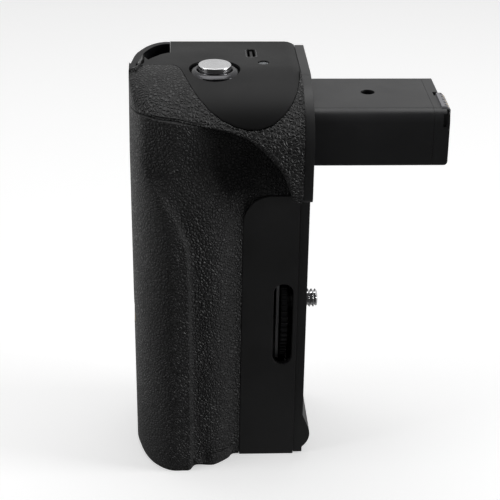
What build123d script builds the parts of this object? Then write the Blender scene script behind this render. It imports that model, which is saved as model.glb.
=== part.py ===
from build123d import *
import math
import os

# Battery grip for a small mirrorless camera, standing on its far end.
# +Z runs up the grip to the end with the shutter button, +X points at the camera
# that the grip is screwed to, and +Y points away from the photographer. The origin
# is on the camera screw's axis, in the face that the camera rests on.

# Driving sizes, in millimetres

# casing
HEAD_ROOM = 8.8
FOOT_Z = -49.6
BACK_Y = 23.0
PANEL_Y = -20.0
LOBE_Y = -30.8
SHOULDER_Y = -28.5
PALM_ROOM = 6.3
PALM_LEAN = 1.5
LEFT_STRAIGHT_Z = 57.0
SEAM_X = -21.4
CORNER_W = 12.6
CORNER_D = 30.0
FRONT_START_Y = -8.0
SPLIT_Y = -1.0
RUBBER_T = 1.0
WALL = 1.2
REAR_WALL = 2.0
COVER_T = 2.0
SLIP = 0.05
SEAM_GAP = 0.12
OVERRUN = 1.5
FOOT_ROUND = 0.8

# shoulder
SHOULDER_H = 39.5
NOSE_START_Y = -2.0
NOSE_H = 18.5
SHOULDER_CORNER_W = 13.5
LEDGE_D = 13.0

# seating plate with the flared foot lip
PLATE_T = 3.0
PLATE_FRONT_Y = -19.5
PLATE_NOSE_Y = -28.0
PLATE_BACK_Y = 22.4
PLATE_TOP_DROP = 1.0
PLATE_LOW_Z = -49.1
PLATE_SHOULDER_DROP = 36.9
PLATE_ROUND = 2.4
LIP_START_Z = -30.0
LIP_REACH = 2.5

# dummy battery arm
ARM_FRONT_Y = -20.0
ARM_D = 31.8
ARM_LOW_Z = 56.2
ARM_H = 18.5
ARM_REACH = 43.0
ARM_EDGE_R = 4.0
ARM_SMALL_R = 1.0
ARM_WALL = 1.6
ARM_FLANGE = 1.6
ARM_FLANGE_T = 1.8
ARM_CAP_L = 5.0
ARM_STEP = 1.5
ARM_STEP_Y = -2.3
ARM_FIT = 0.1
ARM_HOLE_R = 2.25
ARM_HOLE_X = 18.9
ARM_HOLE_Y = -2.2
SIDE_SLOT_BACK = 2.1
SIDE_SLOT_W = 1.6
SIDE_SLOT_H = 6.0
SIDE_SLOT_D = 1.1
SIDE_SLOT_DROP = 5.5
END_SLOT_Y = -18.9
END_SLOT_W = 1.4
END_SLOT_D = 0.9
NOTCH_BACK = 3.2
NOTCH_D = 2.0
CONTACT_BACK = 2.4
CONTACT_FRONT_Y = -16.9
CONTACT_BACK_Y = -4.1
CONTACT_DEPTH = 3.0
CONTACT_PROUD = 0.5
CONTACT_BEVEL = 1.2
CONTACT_COUNT = 5
CONTACT_GROOVE = 1.1
CONTACT_GROOVE_D = 0.9
CONTACT_LEAF = 0.3
CONTACT_SEAT = 0.05

# camera screw and its thumbwheel
SCREW_R = 3.175
SCREW_REACH = 5.3
SCREW_TIP = 0.6
SCREW_NECK_R = 2.5
SCREW_SINK = 0.1
SCREW_HOLE_GAP = 0.25
RELIEF_R = 4.6
RELIEF_D = 0.5
FLANGE_R = 5.2
FLANGE_GAP = 0.35
BOSS_R = 4.2
WHEEL_R = 19.8
WHEEL_T = 2.4
WHEEL_X = -7.2
WHEEL_NOTCHES = 60
WHEEL_NOTCH_D = 0.55
AXLE_R = 2.0
AXLE_FIT = 0.04
AXLE_CAP = 0.5
CARRIER_T = 0.9
CARRIER_GAP = 0.35
CARRIER_HALF = 15.0
SLOT_X = -7.7
SLOT_W = 6.4
SLOT_L = 29.6
PANEL_T = 1.6
PANEL_DROP = 37.5
PANEL_ROUND = 9.5

# shutter button
BUTTON_SHARE = 0.528
BUTTON_Y = -4.6
CAP_R = 5.2
CAP_RISE = 1.5
CAP_T = 2.2
CAP_EDGE = 0.4
CAP_GAP = 0.3
COLLAR_R = 8.0
COLLAR_DROP = 0.2
COLLAR_T = 3.6
COLLAR_SEAT = 1.0
COLLAR_BEVEL = 0.8
COLLAR_FLANGE = 1.2
STEM_R = 1.5
STEM_FIT = 0.08
BUTTON_TRAVEL = 0.9
SPRING_WIRE_R = 0.15
SPRING_R = 2.6
SPRING_TURNS = 2
SWITCH_W = 6.0
SWITCH_H = 3.0
SWITCH_PLUNGER_R = 1.2

# port and indicator in the top
PORT_X = -18.0
PORT_Y = 10.7
PORT_W = 3.4
PORT_L = 8.2
PORT_WALL = 0.4
PORT_ROUND = 0.9
PORT_TONGUE_W = 0.8
PORT_TONGUE_L = 5.6
LAMP_X = -14.5
LAMP_Y = 1.2
LAMP_R = 1.75

# hand strap lug in the back left corner of the top
LUG_DEPTH = 7.0
LUG_FLOOR = 1.2
LUG_WALL = 1.4
LUG_W = 13.3
FIN_T = 1.2
BAR_T = 2.2
BAR_H = 4.1
BAR_TOP_DROP = 0.15

# batteries, their box and its contacts
CELL_W = 18.5
CELL_D = 31.8
CELL_L = 45.0
CELL_GAP_W = 0.2
CELL_GAP_D = 0.4
BOX_WALL = 0.85
BOX_RIGHT_X = -9.65
BOX_MID_Y = -0.05
BOX_CORNER_R = 2.0
BOX_ROOF = 1.4
BOX_SPARE_L = 0.6
CONTACT_BOARD_T = 1.6
CONTACT_BOARD_UP = 2.0
BLADE_W = 1.6
BLADE_T = 0.4
BLADE_PITCH = 4.5
BLADE_DROP = 0.45

# foot frame, battery door, its pin and its latch
FOOT_FLOOR = 3.0
FOOT_RIM_Z = -44.8
DOOR_GAP = 0.3
DOOR_HINGE_GAP = 0.6
DOOR_RECESS = 0.3
DOOR_T = 1.6
PIN_R = 0.8
PIN_FIT = 0.05
PIN_Y = 18.9
PIN_RISE = 1.4
KNUCKLE_R = 1.25
KNUCKLE_W = 6.0
KNUCKLE_SIDE = 0.3
KNUCKLE_SPAN = 14.0
KNUCKLE_POCKET = 0.35
PIN_END = 4.0
LATCH_X = -30.0
LATCH_W = 8.0
LATCH_T = 0.8
LATCH_REACH = 1.4
LATCH_BEVEL = 0.35
LATCH_BACK = 7.7
LATCH_TRAVEL = 2.2
LATCH_TAB_W = 6.0
LATCH_TAB_L = 3.0
LATCH_GAP = 0.1
LATCH_SIDE = 0.3

# battery catches
CATCH_W = 5.0
CATCH_H = 1.8
CATCH_L = 3.6
CATCH_BITE = 0.9
CATCH_BEVEL = 0.8
CATCH_HEAD = 0.8
CATCH_GAP = 0.12

# power switch on the back
POWER_X = -22.0
POWER_DROP = 17.5
POWER_TRAVEL = 4.0
KNOB_W = 7.0
KNOB_H = 5.0
KNOB_T = 1.5
KNOB_STEM_W = 3.0
KNOB_STEM_H = 2.0
KNOB_STEM_L = 4.5
KNOB_GAP = 0.1
KNOB_RECESS = 0.8
KNOB_STEM_FIT = 0.3
POWER_SWITCH_W = 9.0
POWER_SWITCH_H = 4.0
POWER_SWITCH_D = 3.6

# thumb rest on the back
REST_DROP = 28.5
REST_H = 25.0
REST_LEFT = 16.4
REST_RIGHT_X = -12.0
REST_T = 1.4
REST_SINK = 0.8
REST_ROUND = 5.0

# tripod socket in the palm side
TRIPOD_Y = -7.6
TRIPOD_Z = 0.0
TRIPOD_THREAD_R = 2.6
TRIPOD_BODY_R = 4.5
TRIPOD_FLANGE_R = 6.0
TRIPOD_FLANGE_T = 1.4
TRIPOD_LENGTH = 6.3
TRIPOD_SINK = 0.3
TRIPOD_FLANGE_GAP = 1.0

# boards and ribbons
BOARD_T = 1.6
BOARD_DROP = 8.1
BOARD_LEFT = 14.9
BOARD_RIGHT_X = -6.0
BOARD_FRONT_Y = -10.0
BOARD_BACK_Y = 17.5
RIBBON_W = 6.0
RIBBON_T = 0.3
RIBBON_X = -22.0
RIBBON_Y = 10.0

# screws
CASE_SCREW_R = 1.0
CASE_HEAD_R = 1.9
CASE_HEAD_T = 1.2
CASE_SCREW_L = 6.0
CASE_POST_R = 2.2
CASE_SCREW_EDGE_X = -7.1
CASE_SCREW_FAR = 16.4
CASE_SCREW_DROP = (23.5, 57.5)
CASE_SCREW_LOW_Z = -33.0
PLATE_SCREW_R = 1.0
PLATE_HEAD_R = 2.1
PLATE_HEAD_T = 1.3
PLATE_SCREW_L = 6.4
PLATE_SCREW_Y = (-15.2, 18.4)
PLATE_SCREW_Z = (-26.5, 40.0)
PLATE_POST_R = 3.0
PLATE_POST_X = -9.5
HOLE_GAP = 0.1
THREAD_FIT = 0.02

# Shapes as shares of the sizes that they follow.
# Places on the front curve: share of the way from the palm side to the panel seam.
WAY_SHARES = (0.04, 0.125, 0.24, 0.355, 0.455, 0.515, 0.57, 0.635, 0.735, 0.83, 0.92)
# Depths at those places, as shares of the way from the panel's face out to the lobe's.
# Each pair holds the palm lobe's curve and the curve of the groove and second lobe
# beside it. A ridge parts them.
GRIP_SHARES = ((-0.28, 0.37, 0.80, 0.98, 0.98, 0.95, 0.90, 0.83, 0.70, 0.50, 0.25),
               (-0.28, 0.30, 0.60, 0.70, 0.72, 0.70, 0.665, 0.65, 0.67, 0.48, 0.17))
NECK_SHARES = ((-0.28, 0.36, 0.76, 0.86, 0.84, 0.80, 0.76, 0.68, 0.55, 0.36, 0.12),
               (-0.28, 0.28, 0.58, 0.66, 0.66, 0.65, 0.655, 0.64, 0.55, 0.36, 0.12))
SCOOP_SHARES = ((-0.24, 0.38, 0.62, 0.67, 0.62, 0.56, 0.49, 0.40, 0.25, 0.08, -0.09),
                (-0.30, 0.24, 0.50, 0.64, 0.62, 0.56, 0.49, 0.40, 0.25, 0.08, -0.09))
CREASE_SHARES = ((-0.26, 0.38, 0.66, 0.71, 0.68, 0.64, 0.59, 0.52, 0.40, 0.26, 0.12),
                 (-0.28, 0.28, 0.54, 0.66, 0.68, 0.64, 0.59, 0.52, 0.40, 0.26, 0.12))
FRONT_SHARES = (GRIP_SHARES, NECK_SHARES, SCOOP_SHARES, CREASE_SHARES, CREASE_SHARES)
# Levels of the grip's loft: share of the height from the foot to the top, place in the
# row of front curves above, ridge's place on the way, and the depth shares at the
# panel seam and at the plate.
LEVEL_SHARES = ((0.0, 0.0, 0.515, 0.0, 0.0),
                (0.019, 0.0, 0.515, 0.0, 0.0),
                (0.48, 0.0, 0.502, 0.0, 0.0),
                (0.62, 0.0, 0.475, 0.0, 0.0),
                (0.65, 0.33, 0.44, -0.015, -0.03),
                (0.68, 0.66, 0.397, -0.035, -0.065),
                (0.712, 1.0, 0.338, -0.05, -0.10),
                (0.745, 1.35, 0.235, -0.11, -0.22),
                (0.80, 2.0, 0.15, -0.21, -0.42),
                (0.885, 3.0, 0.15, 0.02, -0.20),
                (0.985, 3.0, 0.15, 0.02, -0.20))
# Width of the slope behind the ridge, as a share of the way.
RIDGE_SHARE = 0.06
# Crease under the shoulder: shares of the casing's width from the palm side, and of
# its height from the foot.
CREASE_LINE_SHARES = ((0.0, 0.930), (0.09, 0.932), (0.16, 0.928), (0.23, 0.926), (0.30, 0.921),
                      (0.43, 0.911), (0.57, 0.896), (0.636, 0.884), (0.705, 0.861),
                      (0.775, 0.828), (0.833, 0.795), (0.876, 0.750), (0.893, 0.722))
# Seam of the top cover's tongue, in the same shares.
TONGUE_SHARES = ((0.288, 0.997), (0.313, 0.988), (0.339, 0.979), (0.379, 0.962), (0.434, 0.942),
                 (0.50, 0.925), (0.568, 0.912), (0.636, 0.905), (0.704, 0.904), (0.774, 0.912),
                 (0.836, 0.930), (0.880, 0.951), (0.911, 0.971), (0.93, 0.988))
# Inner edge of the strap lug's opening: shares of the corner's half width and half
# depth, measured from the corner's centre.
LUG_SHARES = ((0.06, 0.62), (-0.20, 0.545), (-0.405, 0.44), (-0.53, 0.36), (-0.63, 0.26),
              (-0.74, 0.12), (-0.83, -0.01))
# Fin in the lug's opening, in the same shares.
FIN_SHARES = ((-0.46, 0.33), (-0.56, 0.22), (-0.62, 0.30), (-0.615, 0.49), (-0.52, 0.39))
# Foot lip: shares of its height from where it starts, and of its reach.
LIP_SHARES = ((0.25, 0.02), (0.45, 0.64), (0.63, 1.0), (0.78, 0.74), (0.95, -0.45))

# Thumbwheel's rim: shares of one notch's pitch, and shares of the notch's depth there.
NOTCH_SHARES = ((0.0, 0.0), (0.5, 0.0), (0.65, 1.0), (0.85, 1.0))

# Points on each quarter of an ellipse.
CURVE_STEPS = 6

ARM_TOP_Z = ARM_LOW_Z + ARM_H
ARM_BACK_Y = ARM_FRONT_Y + ARM_D
CONTACT_X = ARM_REACH - CONTACT_BACK
TOP_Z = ARM_TOP_Z + HEAD_ROOM
NOSE_LOW_Z = TOP_Z - NOSE_H
SHOULDER_LOW_Z = TOP_Z - SHOULDER_H
PLATE_TOP_Z = TOP_Z - PLATE_TOP_DROP
PLATE_SHOULDER_Z = TOP_Z - PLATE_SHOULDER_DROP
CAP_TOP_Z = TOP_Z + CAP_RISE
COLLAR_TOP_Z = TOP_Z - COLLAR_DROP
POWER_Z = TOP_Z - POWER_DROP
BOARD_TOP_Z = TOP_Z - BOARD_DROP
PANEL_TOP_Z = TOP_Z - PANEL_DROP
REST_HIGH_Z = TOP_Z - REST_DROP
REST_LOW_Z = REST_HIGH_Z - REST_H
CASE_SCREW_Z = tuple(TOP_Z - drop for drop in CASE_SCREW_DROP) + (CASE_SCREW_LOW_Z,)
PLATE_X = -PLATE_T
CASE_RIGHT_X = PLATE_X - SEAM_GAP
HEIGHT = TOP_Z - FOOT_Z
BOX_W = 2 * (CELL_W + CELL_GAP_W) + 3 * BOX_WALL
BOX_D = CELL_D + CELL_GAP_D + 2 * BOX_WALL
BOX_LEFT_X = BOX_RIGHT_X - BOX_W
BOX_FRONT_Y = BOX_MID_Y - BOX_D / 2
BOX_BACK_Y = BOX_MID_Y + BOX_D / 2
FLOOR_Z = FOOT_Z + FOOT_FLOOR
BOX_LOW_Z = FLOOR_Z + SLIP
BOX_CEILING_Z = BOX_LOW_Z + CELL_L + BOX_SPARE_L
BOX_TOP_Z = BOX_CEILING_Z + BOX_ROOF
CONTACT_BOARD_Z = BOX_TOP_Z + CONTACT_BOARD_UP
PIN_Z = FOOT_Z + PIN_RISE
DOOR_LOW_Z = FOOT_Z + DOOR_RECESS
DOOR_TOP_Z = DOOR_LOW_Z + DOOR_T
LEFT_FOOT_X = BOX_LEFT_X - PALM_ROOM
LEFT_TOP_X = LEFT_FOOT_X - PALM_LEAN
LUG_RIGHT_X = LEFT_TOP_X + LUG_W
BOARD_LEFT_X = LEFT_TOP_X + BOARD_LEFT
REST_LEFT_X = LEFT_TOP_X + REST_LEFT
BUTTON_X = LEFT_TOP_X * BUTTON_SHARE
CASE_SCREW_FAR_X = LEFT_TOP_X + CASE_SCREW_FAR


def block(low, high):
    """A box from its lowest to its highest corner."""
    size = [b - a for a, b in zip(low, high)]
    middle = [(a + b) / 2 for a, b in zip(low, high)]
    return Pos(*middle) * Box(*size)


def rod_x(radius, x0, x1, y, z):
    """A round bar along X."""
    return Pos((x0 + x1) / 2, y, z) * Rot(0, 90, 0) * Cylinder(radius, abs(x1 - x0))


def rod_y(radius, y0, y1, x, z):
    """A round bar along Y."""
    return Pos(x, (y0 + y1) / 2, z) * Rot(90, 0, 0) * Cylinder(radius, abs(y1 - y0))


def rod_z(radius, z0, z1, x, y):
    """A round bar along Z."""
    return Pos(x, y, (z0 + z1) / 2) * Cylinder(radius, abs(z1 - z0))


def rounded_block(low, high, radius):
    """A box with its four upright edges rounded."""
    size = [b - a for a, b in zip(low, high)]
    middle = [(a + b) / 2 for a, b in zip(low, high)]
    sheet = RectangleRounded(size[0], size[1], radius)
    return Pos(middle[0], middle[1], low[2]) * extrude(sheet, size[2])


def left_x(z):
    """The palm side leans in a little towards the foot."""
    share = min(1.0, (z - FOOT_Z) / (LEFT_STRAIGHT_Z - FOOT_Z))
    return LEFT_FOOT_X + (LEFT_TOP_X - LEFT_FOOT_X) * share


def shifted_inwards(points, inset):
    """Move the points of an open curve sideways by the inset, into the body."""
    moved = []
    last = len(points) - 1
    for i, (x, y) in enumerate(points):
        ax, ay = points[max(0, i - 1)]
        bx, by = points[min(last, i + 1)]
        length = math.hypot(bx - ax, by - ay)
        moved.append((x - inset * (by - ay) / length, y + inset * (bx - ax) / length))
    return moved


def right_end(inset):
    """Inner forms run on past the casing's open right end."""
    return CASE_RIGHT_X + (OVERRUN if inset else 0)


def front_depths(row, ridge):
    """Depth shares along the front at a place in the row of front curves."""
    low = int(row)
    depths = []
    for i, way in enumerate(WAY_SHARES):
        lobe, groove = [FRONT_SHARES[low][k][i] * (low + 1 - row) + FRONT_SHARES[low + 1][k][i] * (row - low)
                        for k in (0, 1)]
        down = min(1.0, max(0.0, (way - ridge) / RIDGE_SHARE))
        depths.append(lobe + (groove - lobe) * down * (2 - down))
    return depths


def front_points(level, inset, right):
    """Front curve at one level, from the palm side to the plate."""
    share, row, ridge, seam_share, plate_share = level
    left = left_x(FOOT_Z + share * HEIGHT)
    depth = PANEL_Y - LOBE_Y
    width = SEAM_X - left
    curve = [(left, FRONT_START_Y)]
    curve += [(left + way * width, PANEL_Y - out * depth)
              for way, out in zip(WAY_SHARES, front_depths(row, ridge))]
    curve.append((SEAM_X, PANEL_Y - seam_share * depth))
    curve.append((CASE_RIGHT_X, PANEL_Y - plate_share * depth))
    moved = shifted_inwards(curve, inset)
    moved[0] = (left + inset, FRONT_START_Y)
    moved[-1] = (right, moved[-1][1])
    return moved


def corner_points(z, inset):
    """Back left corner as a quarter of an ellipse, from the back to the palm side."""
    cx = left_x(z) + CORNER_W
    cy = BACK_Y - CORNER_D
    points = []
    for i in range(CURVE_STEPS + 1):
        angle = math.pi / 2 * (1 + i / CURVE_STEPS)
        points.append((cx + (CORNER_W - inset) * math.cos(angle),
                       cy + (CORNER_D - inset) * math.sin(angle)))
    return points


def grip_section(level, inset):
    """Closed outline of the grip at one level."""
    z = FOOT_Z + level[0] * HEIGHT
    low = FOOT_ROUND if level[0] == 0 else 0
    front = front_points(level, inset + low, right_end(inset))
    corner = corner_points(z, inset + low)

    def at(point):
        return Vector(point[0], point[1], z)

    right = front[-1][0]
    lobe = Edge.make_spline([at(p) for p in front[:-1]],
                            tangents=[Vector(0, -1, 0), at(front[-1]) - at(front[-2])])
    flat = Edge.make_line(at(front[-2]), at(front[-1]))
    side = Edge.make_line(at(front[-1]), at((right, corner[0][1])))
    back = Edge.make_line(at((right, corner[0][1])), at(corner[0]))
    bend = Edge.make_spline([at(p) for p in corner], tangents=[Vector(-1, 0, 0), Vector(0, -1, 0)])
    palm = Edge.make_line(at(corner[-1]), at(front[0]))
    return Wire([lobe, flat, side, back, bend, palm])


def grip_form(inset=0):
    """The grip's body from foot to top, without the shoulder, moved in by the inset."""
    return Solid.make_loft([grip_section(level, inset) for level in LEVEL_SHARES], ruled=True)


def plan_wire(z, inset=0):
    """Outline of the shoulder seen from above."""
    left = LEFT_TOP_X + inset
    front = SHOULDER_Y + inset
    right = right_end(inset)
    corner = corner_points(TOP_Z, inset)
    start = (left, FRONT_START_Y)
    bulge = []
    for i in range(CURVE_STEPS + 1):
        angle = math.pi / 2 * i / CURVE_STEPS
        bulge.append((LEFT_TOP_X + SHOULDER_CORNER_W - (SHOULDER_CORNER_W - inset) * math.cos(angle),
                      FRONT_START_Y - (FRONT_START_Y - front) * math.sin(angle)))

    def at(point):
        return Vector(point[0], point[1], z)

    nose = Edge.make_spline([at(p) for p in bulge], tangents=[Vector(0, -1, 0), Vector(1, 0, 0)])
    flat = Edge.make_line(at(bulge[-1]), at((right, front)))
    side = Edge.make_line(at((right, front)), at((right, corner[0][1])))
    back = Edge.make_line(at((right, corner[0][1])), at(corner[0]))
    bend = Edge.make_spline([at(p) for p in corner], tangents=[Vector(-1, 0, 0), Vector(0, -1, 0)])
    palm = Edge.make_line(at(corner[-1]), at(start))
    return Wire([nose, flat, side, back, bend, palm])


def side_points(front_y, top_z):
    """Nose of the shoulder seen from the side, from its low front to its top."""
    points = []
    for i in range(CURVE_STEPS + 1):
        angle = math.pi / 2 * i / CURVE_STEPS
        points.append((NOSE_START_Y + (front_y - NOSE_START_Y) * math.cos(angle),
                       NOSE_LOW_Z + (top_z - NOSE_LOW_Z) * math.sin(angle)))
    return points


def side_prism(front_y, top_z, back_y, low_z, x0, x1):
    """The shoulder's side view, pushed along X."""
    nose = side_points(front_y, top_z)

    def at(point):
        return Vector(x0, point[0], point[1])

    low_front = (nose[0][0], low_z)
    front = Edge.make_line(at(low_front), at(nose[0]))
    arc = Edge.make_spline([at(p) for p in nose], tangents=[Vector(0, 0, 1), Vector(0, 1, 0)])
    top = Edge.make_line(at(nose[-1]), at((back_y, nose[-1][1])))
    back = Edge.make_line(at((back_y, nose[-1][1])), at((back_y, low_z)))
    low = Edge.make_line(at((back_y, low_z)), at(low_front))
    return Solid.extrude(Face(Wire([front, arc, top, back, low])), Vector(x1 - x0, 0, 0))


def shoulder_form(inset=0):
    """The shoulder as a whole block, moved in by the inset."""
    plan = Solid.extrude(Face(plan_wire(SHOULDER_LOW_Z, inset)), Vector(0, 0, HEIGHT))
    x0 = LEFT_TOP_X - OVERRUN
    side = side_prism(SHOULDER_Y + inset, TOP_Z - inset, BACK_Y + OVERRUN,
                      SHOULDER_LOW_Z - OVERRUN, x0, OVERRUN)
    return plan & side


def span_point(shares, y):
    """A point from shares of the casing's width and height."""
    width = -LEFT_TOP_X
    return Vector(LEFT_TOP_X + shares[0] * width, y, FOOT_Z + shares[1] * HEIGHT)


def above_crease(shift=0):
    """Everything above the crease; a positive shift moves the crease down."""
    y0 = LOBE_Y - 2 * OVERRUN
    line = [span_point(s, y0) for s in CREASE_LINE_SHARES]
    flat = [(p.X, p.Z) for p in line]
    moved = shifted_inwards(flat, -shift)
    points = [Vector(x, y0, z) for x, z in moved]
    curve = Edge.make_spline(points)
    left = LEFT_TOP_X - 2 * OVERRUN
    right = CASE_RIGHT_X + 2 * OVERRUN
    top = TOP_Z + OVERRUN
    low_right = Vector(right, y0, points[-1].Z)
    edges = [Edge.make_line(Vector(left, y0, points[0].Z), points[0]), curve,
             Edge.make_line(points[-1], low_right),
             Edge.make_line(low_right, Vector(right, y0, top)),
             Edge.make_line(Vector(right, y0, top), Vector(left, y0, top)),
             Edge.make_line(Vector(left, y0, top), Vector(left, y0, points[0].Z))]
    return Solid.extrude(Face(Wire(edges)), Vector(0, BACK_Y + 2 * OVERRUN - y0, 0))


def tongue_prism(grow=0):
    """The tongue of the top cover seen from the front, pushed along Y up to the split."""
    y0 = LOBE_Y - OVERRUN
    flat = [(p.X, p.Z) for p in (span_point(s, y0) for s in TONGUE_SHARES)]
    moved = shifted_inwards(flat, -grow)
    points = [Vector(x, y0, z) for x, z in moved]
    top = TOP_Z + 2 * OVERRUN
    high_left = Vector(points[0].X - grow, y0, top)
    high_right = Vector(points[-1].X + grow, y0, top)
    edges = [Edge.make_spline(points), Edge.make_line(points[-1], high_right),
             Edge.make_line(high_right, high_left), Edge.make_line(high_left, points[0])]
    return Solid.extrude(Face(Wire(edges)), Vector(0, SPLIT_Y + OVERRUN - y0, 0))


def lug_prism(low_z, inwards=0):
    """The corner that the strap lug opens, from its inner edge outwards."""
    cx = LEFT_TOP_X + CORNER_W
    cy = BACK_Y - CORNER_D
    flat = [(cx + sx * CORNER_W, cy + sy * CORNER_D) for sx, sy in LUG_SHARES]
    moved = shifted_inwards(flat, inwards)
    points = [Vector(x, y, low_z) for x, y in moved]
    out_x = LEFT_TOP_X - 2 * OVERRUN
    out_y = BACK_Y + 2 * OVERRUN
    ring = [Vector(points[-1].X, points[-1].Y, low_z), Vector(out_x, points[-1].Y, low_z),
            Vector(out_x, out_y, low_z), Vector(points[0].X, out_y, low_z), points[0]]
    edges = [Edge.make_spline(points)]
    edges += [Edge.make_line(a, b) for a, b in zip(ring[:-1], ring[1:])]
    return Solid.extrude(Face(Wire(edges)), Vector(0, 0, TOP_Z + OVERRUN - low_z))


def panel_prism(grow=0):
    """The smooth front panel seen from the front, with its rounded top corner."""
    y0 = LOBE_Y - OVERRUN
    left = SEAM_X - grow
    right = CASE_RIGHT_X + grow
    low = FOOT_Z - 2 * grow
    high = PANEL_TOP_Z + grow
    radius = PANEL_ROUND + grow
    bend = Edge.make_three_point_arc(
        Vector(left, y0, high - radius),
        Vector(left + radius * (1 - math.sqrt(0.5)), y0, high - radius * (1 - math.sqrt(0.5))),
        Vector(left + radius, y0, high))
    edges = [Edge.make_line(Vector(left, y0, low), Vector(left, y0, high - radius)), bend,
             Edge.make_line(Vector(left + radius, y0, high), Vector(right, y0, high)),
             Edge.make_line(Vector(right, y0, high), Vector(right, y0, low)),
             Edge.make_line(Vector(right, y0, low), Vector(left, y0, low))]
    return Solid.extrude(Face(Wire(edges)), Vector(0, -y0, 0))


def slot_prism(grow=0):
    """The obround slot for the thumbwheel, pushed along Y through panel and shell."""
    width = SLOT_W + 2 * grow
    length = SLOT_L + 2 * grow
    sheet = Rot(0, 0, 90) * SlotOverall(length, width)
    tall = Rot(90, 0, 0) * extrude(sheet, -2 * PANEL_Y)
    return Pos(SLOT_X, SPLIT_Y, 0) * tall


def shape_of(thing):
    """One plain shape from a part, whatever made it."""
    solids = thing.solids()
    return solids[0] if len(solids) == 1 else Compound(children=solids)


def main_forms():
    """The lofts that several pieces are cut from, made once."""
    return {
        "grip_out": grip_form(),
        "grip_under": grip_form(RUBBER_T),
        "shell_out": grip_form(RUBBER_T + SLIP),
        "shell_in": grip_form(RUBBER_T + SLIP + WALL),
        "rear_in": grip_form(REAR_WALL),
        "shoulder_out": shoulder_form(),
        "shoulder_in": shoulder_form(COVER_T),
    }


def in_front(low_z, high_z):
    """The space of the pieces in front of the casing's split."""
    return block((LEFT_TOP_X - OVERRUN, LOBE_Y - OVERRUN, low_z), (CASE_RIGHT_X, SPLIT_Y, high_z))


def behind(low_z, high_z):
    """The space of the pieces behind the casing's split."""
    return block((LEFT_TOP_X - OVERRUN, SPLIT_Y + SEAM_GAP, low_z),
                 (CASE_RIGHT_X, BACK_Y + OVERRUN, high_z))


def case_screw_places():
    """Places of the casing screws on the back, clear of the lug and the door."""
    return [(x, z) for x in (CASE_SCREW_EDGE_X, CASE_SCREW_FAR_X) for z in CASE_SCREW_Z]


def case_post(x, z, front_y):
    """A post from the front that a casing screw bites into, with its hole."""
    end_y = BACK_Y - REAR_WALL - SLIP
    post = rod_y(CASE_POST_R, front_y, end_y, x, z)
    return post - rod_y(CASE_SCREW_R + THREAD_FIT, BACK_Y - CASE_SCREW_L - OVERRUN, end_y + OVERRUN, x, z)


def plate_post(y, z):
    """A post beside the plate that a plate screw bites into, without its hole."""
    return rod_x(PLATE_POST_R, PLATE_POST_X, CASE_RIGHT_X, y, z)


def plate_screw_hole(y, z):
    return rod_x(PLATE_SCREW_R + THREAD_FIT, PLATE_POST_X + SLIP, OVERRUN, y, z)


def grip_rubber(forms):
    skin = forms["grip_out"] - forms["grip_under"]
    skin = skin & in_front(FOOT_RIM_Z + SEAM_GAP, TOP_Z)
    skin = skin - above_crease(SEAM_GAP) - panel_prism(SEAM_GAP)
    return skin - rod_x(TRIPOD_BODY_R + SEAM_GAP, LEFT_TOP_X - OVERRUN, LEFT_TOP_X + CORNER_W,
                        TRIPOD_Y, TRIPOD_Z)


def front_shell(forms):
    shell = forms["shell_out"] - forms["shell_in"]
    shell = shell & in_front(FOOT_RIM_Z + SEAM_GAP, TOP_Z)
    shell = shell - above_crease(SEAM_GAP)
    recess = panel_prism(SEAM_GAP) & block((SEAM_X - OVERRUN, PANEL_Y - OVERRUN, FOOT_Z - OVERRUN),
                                           (OVERRUN, PANEL_Y + PANEL_T + SLIP, PANEL_TOP_Z + OVERRUN))
    shell = shell - recess - slot_prism()
    for z in PLATE_SCREW_Z:
        post = plate_post(PLATE_SCREW_Y[0], z) & forms["grip_under"]
        shell = shell + (post - recess) - plate_screw_hole(PLATE_SCREW_Y[0], z)
    edge_x, far_x = CASE_SCREW_EDGE_X, CASE_SCREW_FAR_X
    for x, z in ((edge_x, CASE_SCREW_Z[1]), (edge_x, CASE_SCREW_Z[2]),
                 (far_x, CASE_SCREW_Z[0]), (far_x, CASE_SCREW_Z[1])):
        shell = shell + ((case_post(x, z, LOBE_Y) & forms["shell_out"]) - recess)
    return shell - rod_x(TRIPOD_BODY_R + SLIP, LEFT_TOP_X - OVERRUN, LEFT_TOP_X + CORNER_W,
                         TRIPOD_Y, TRIPOD_Z)


def front_panel():
    sheet = block((SEAM_X - OVERRUN, PANEL_Y, FOOT_Z), (OVERRUN, PANEL_Y + PANEL_T, PANEL_TOP_Z + OVERRUN))
    return (panel_prism() & sheet) - slot_prism()


def rear_shell(forms):
    shell = forms["grip_out"] - forms["rear_in"]
    high = TOP_Z - COVER_T - SEAM_GAP
    shell = shell & behind(FOOT_RIM_Z + SEAM_GAP, high)
    lug_low = TOP_Z - LUG_DEPTH - LUG_FLOOR - SLIP
    shell = shell - lug_prism(lug_low, LUG_WALL + SLIP)
    for z in PLATE_SCREW_Z:
        shell = shell + (plate_post(PLATE_SCREW_Y[1], z) & forms["grip_under"])
        shell = shell - plate_screw_hole(PLATE_SCREW_Y[1], z)
    for x, z in case_screw_places():
        shell = shell - rod_y(CASE_SCREW_R + HOLE_GAP, SPLIT_Y, BACK_Y + OVERRUN, x, z)
        shell = shell - rod_y(CASE_HEAD_R + HOLE_GAP, BACK_Y - CASE_HEAD_T, BACK_Y + OVERRUN, x, z)
    return shell - thumb_rest_seat() - power_seat()


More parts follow.
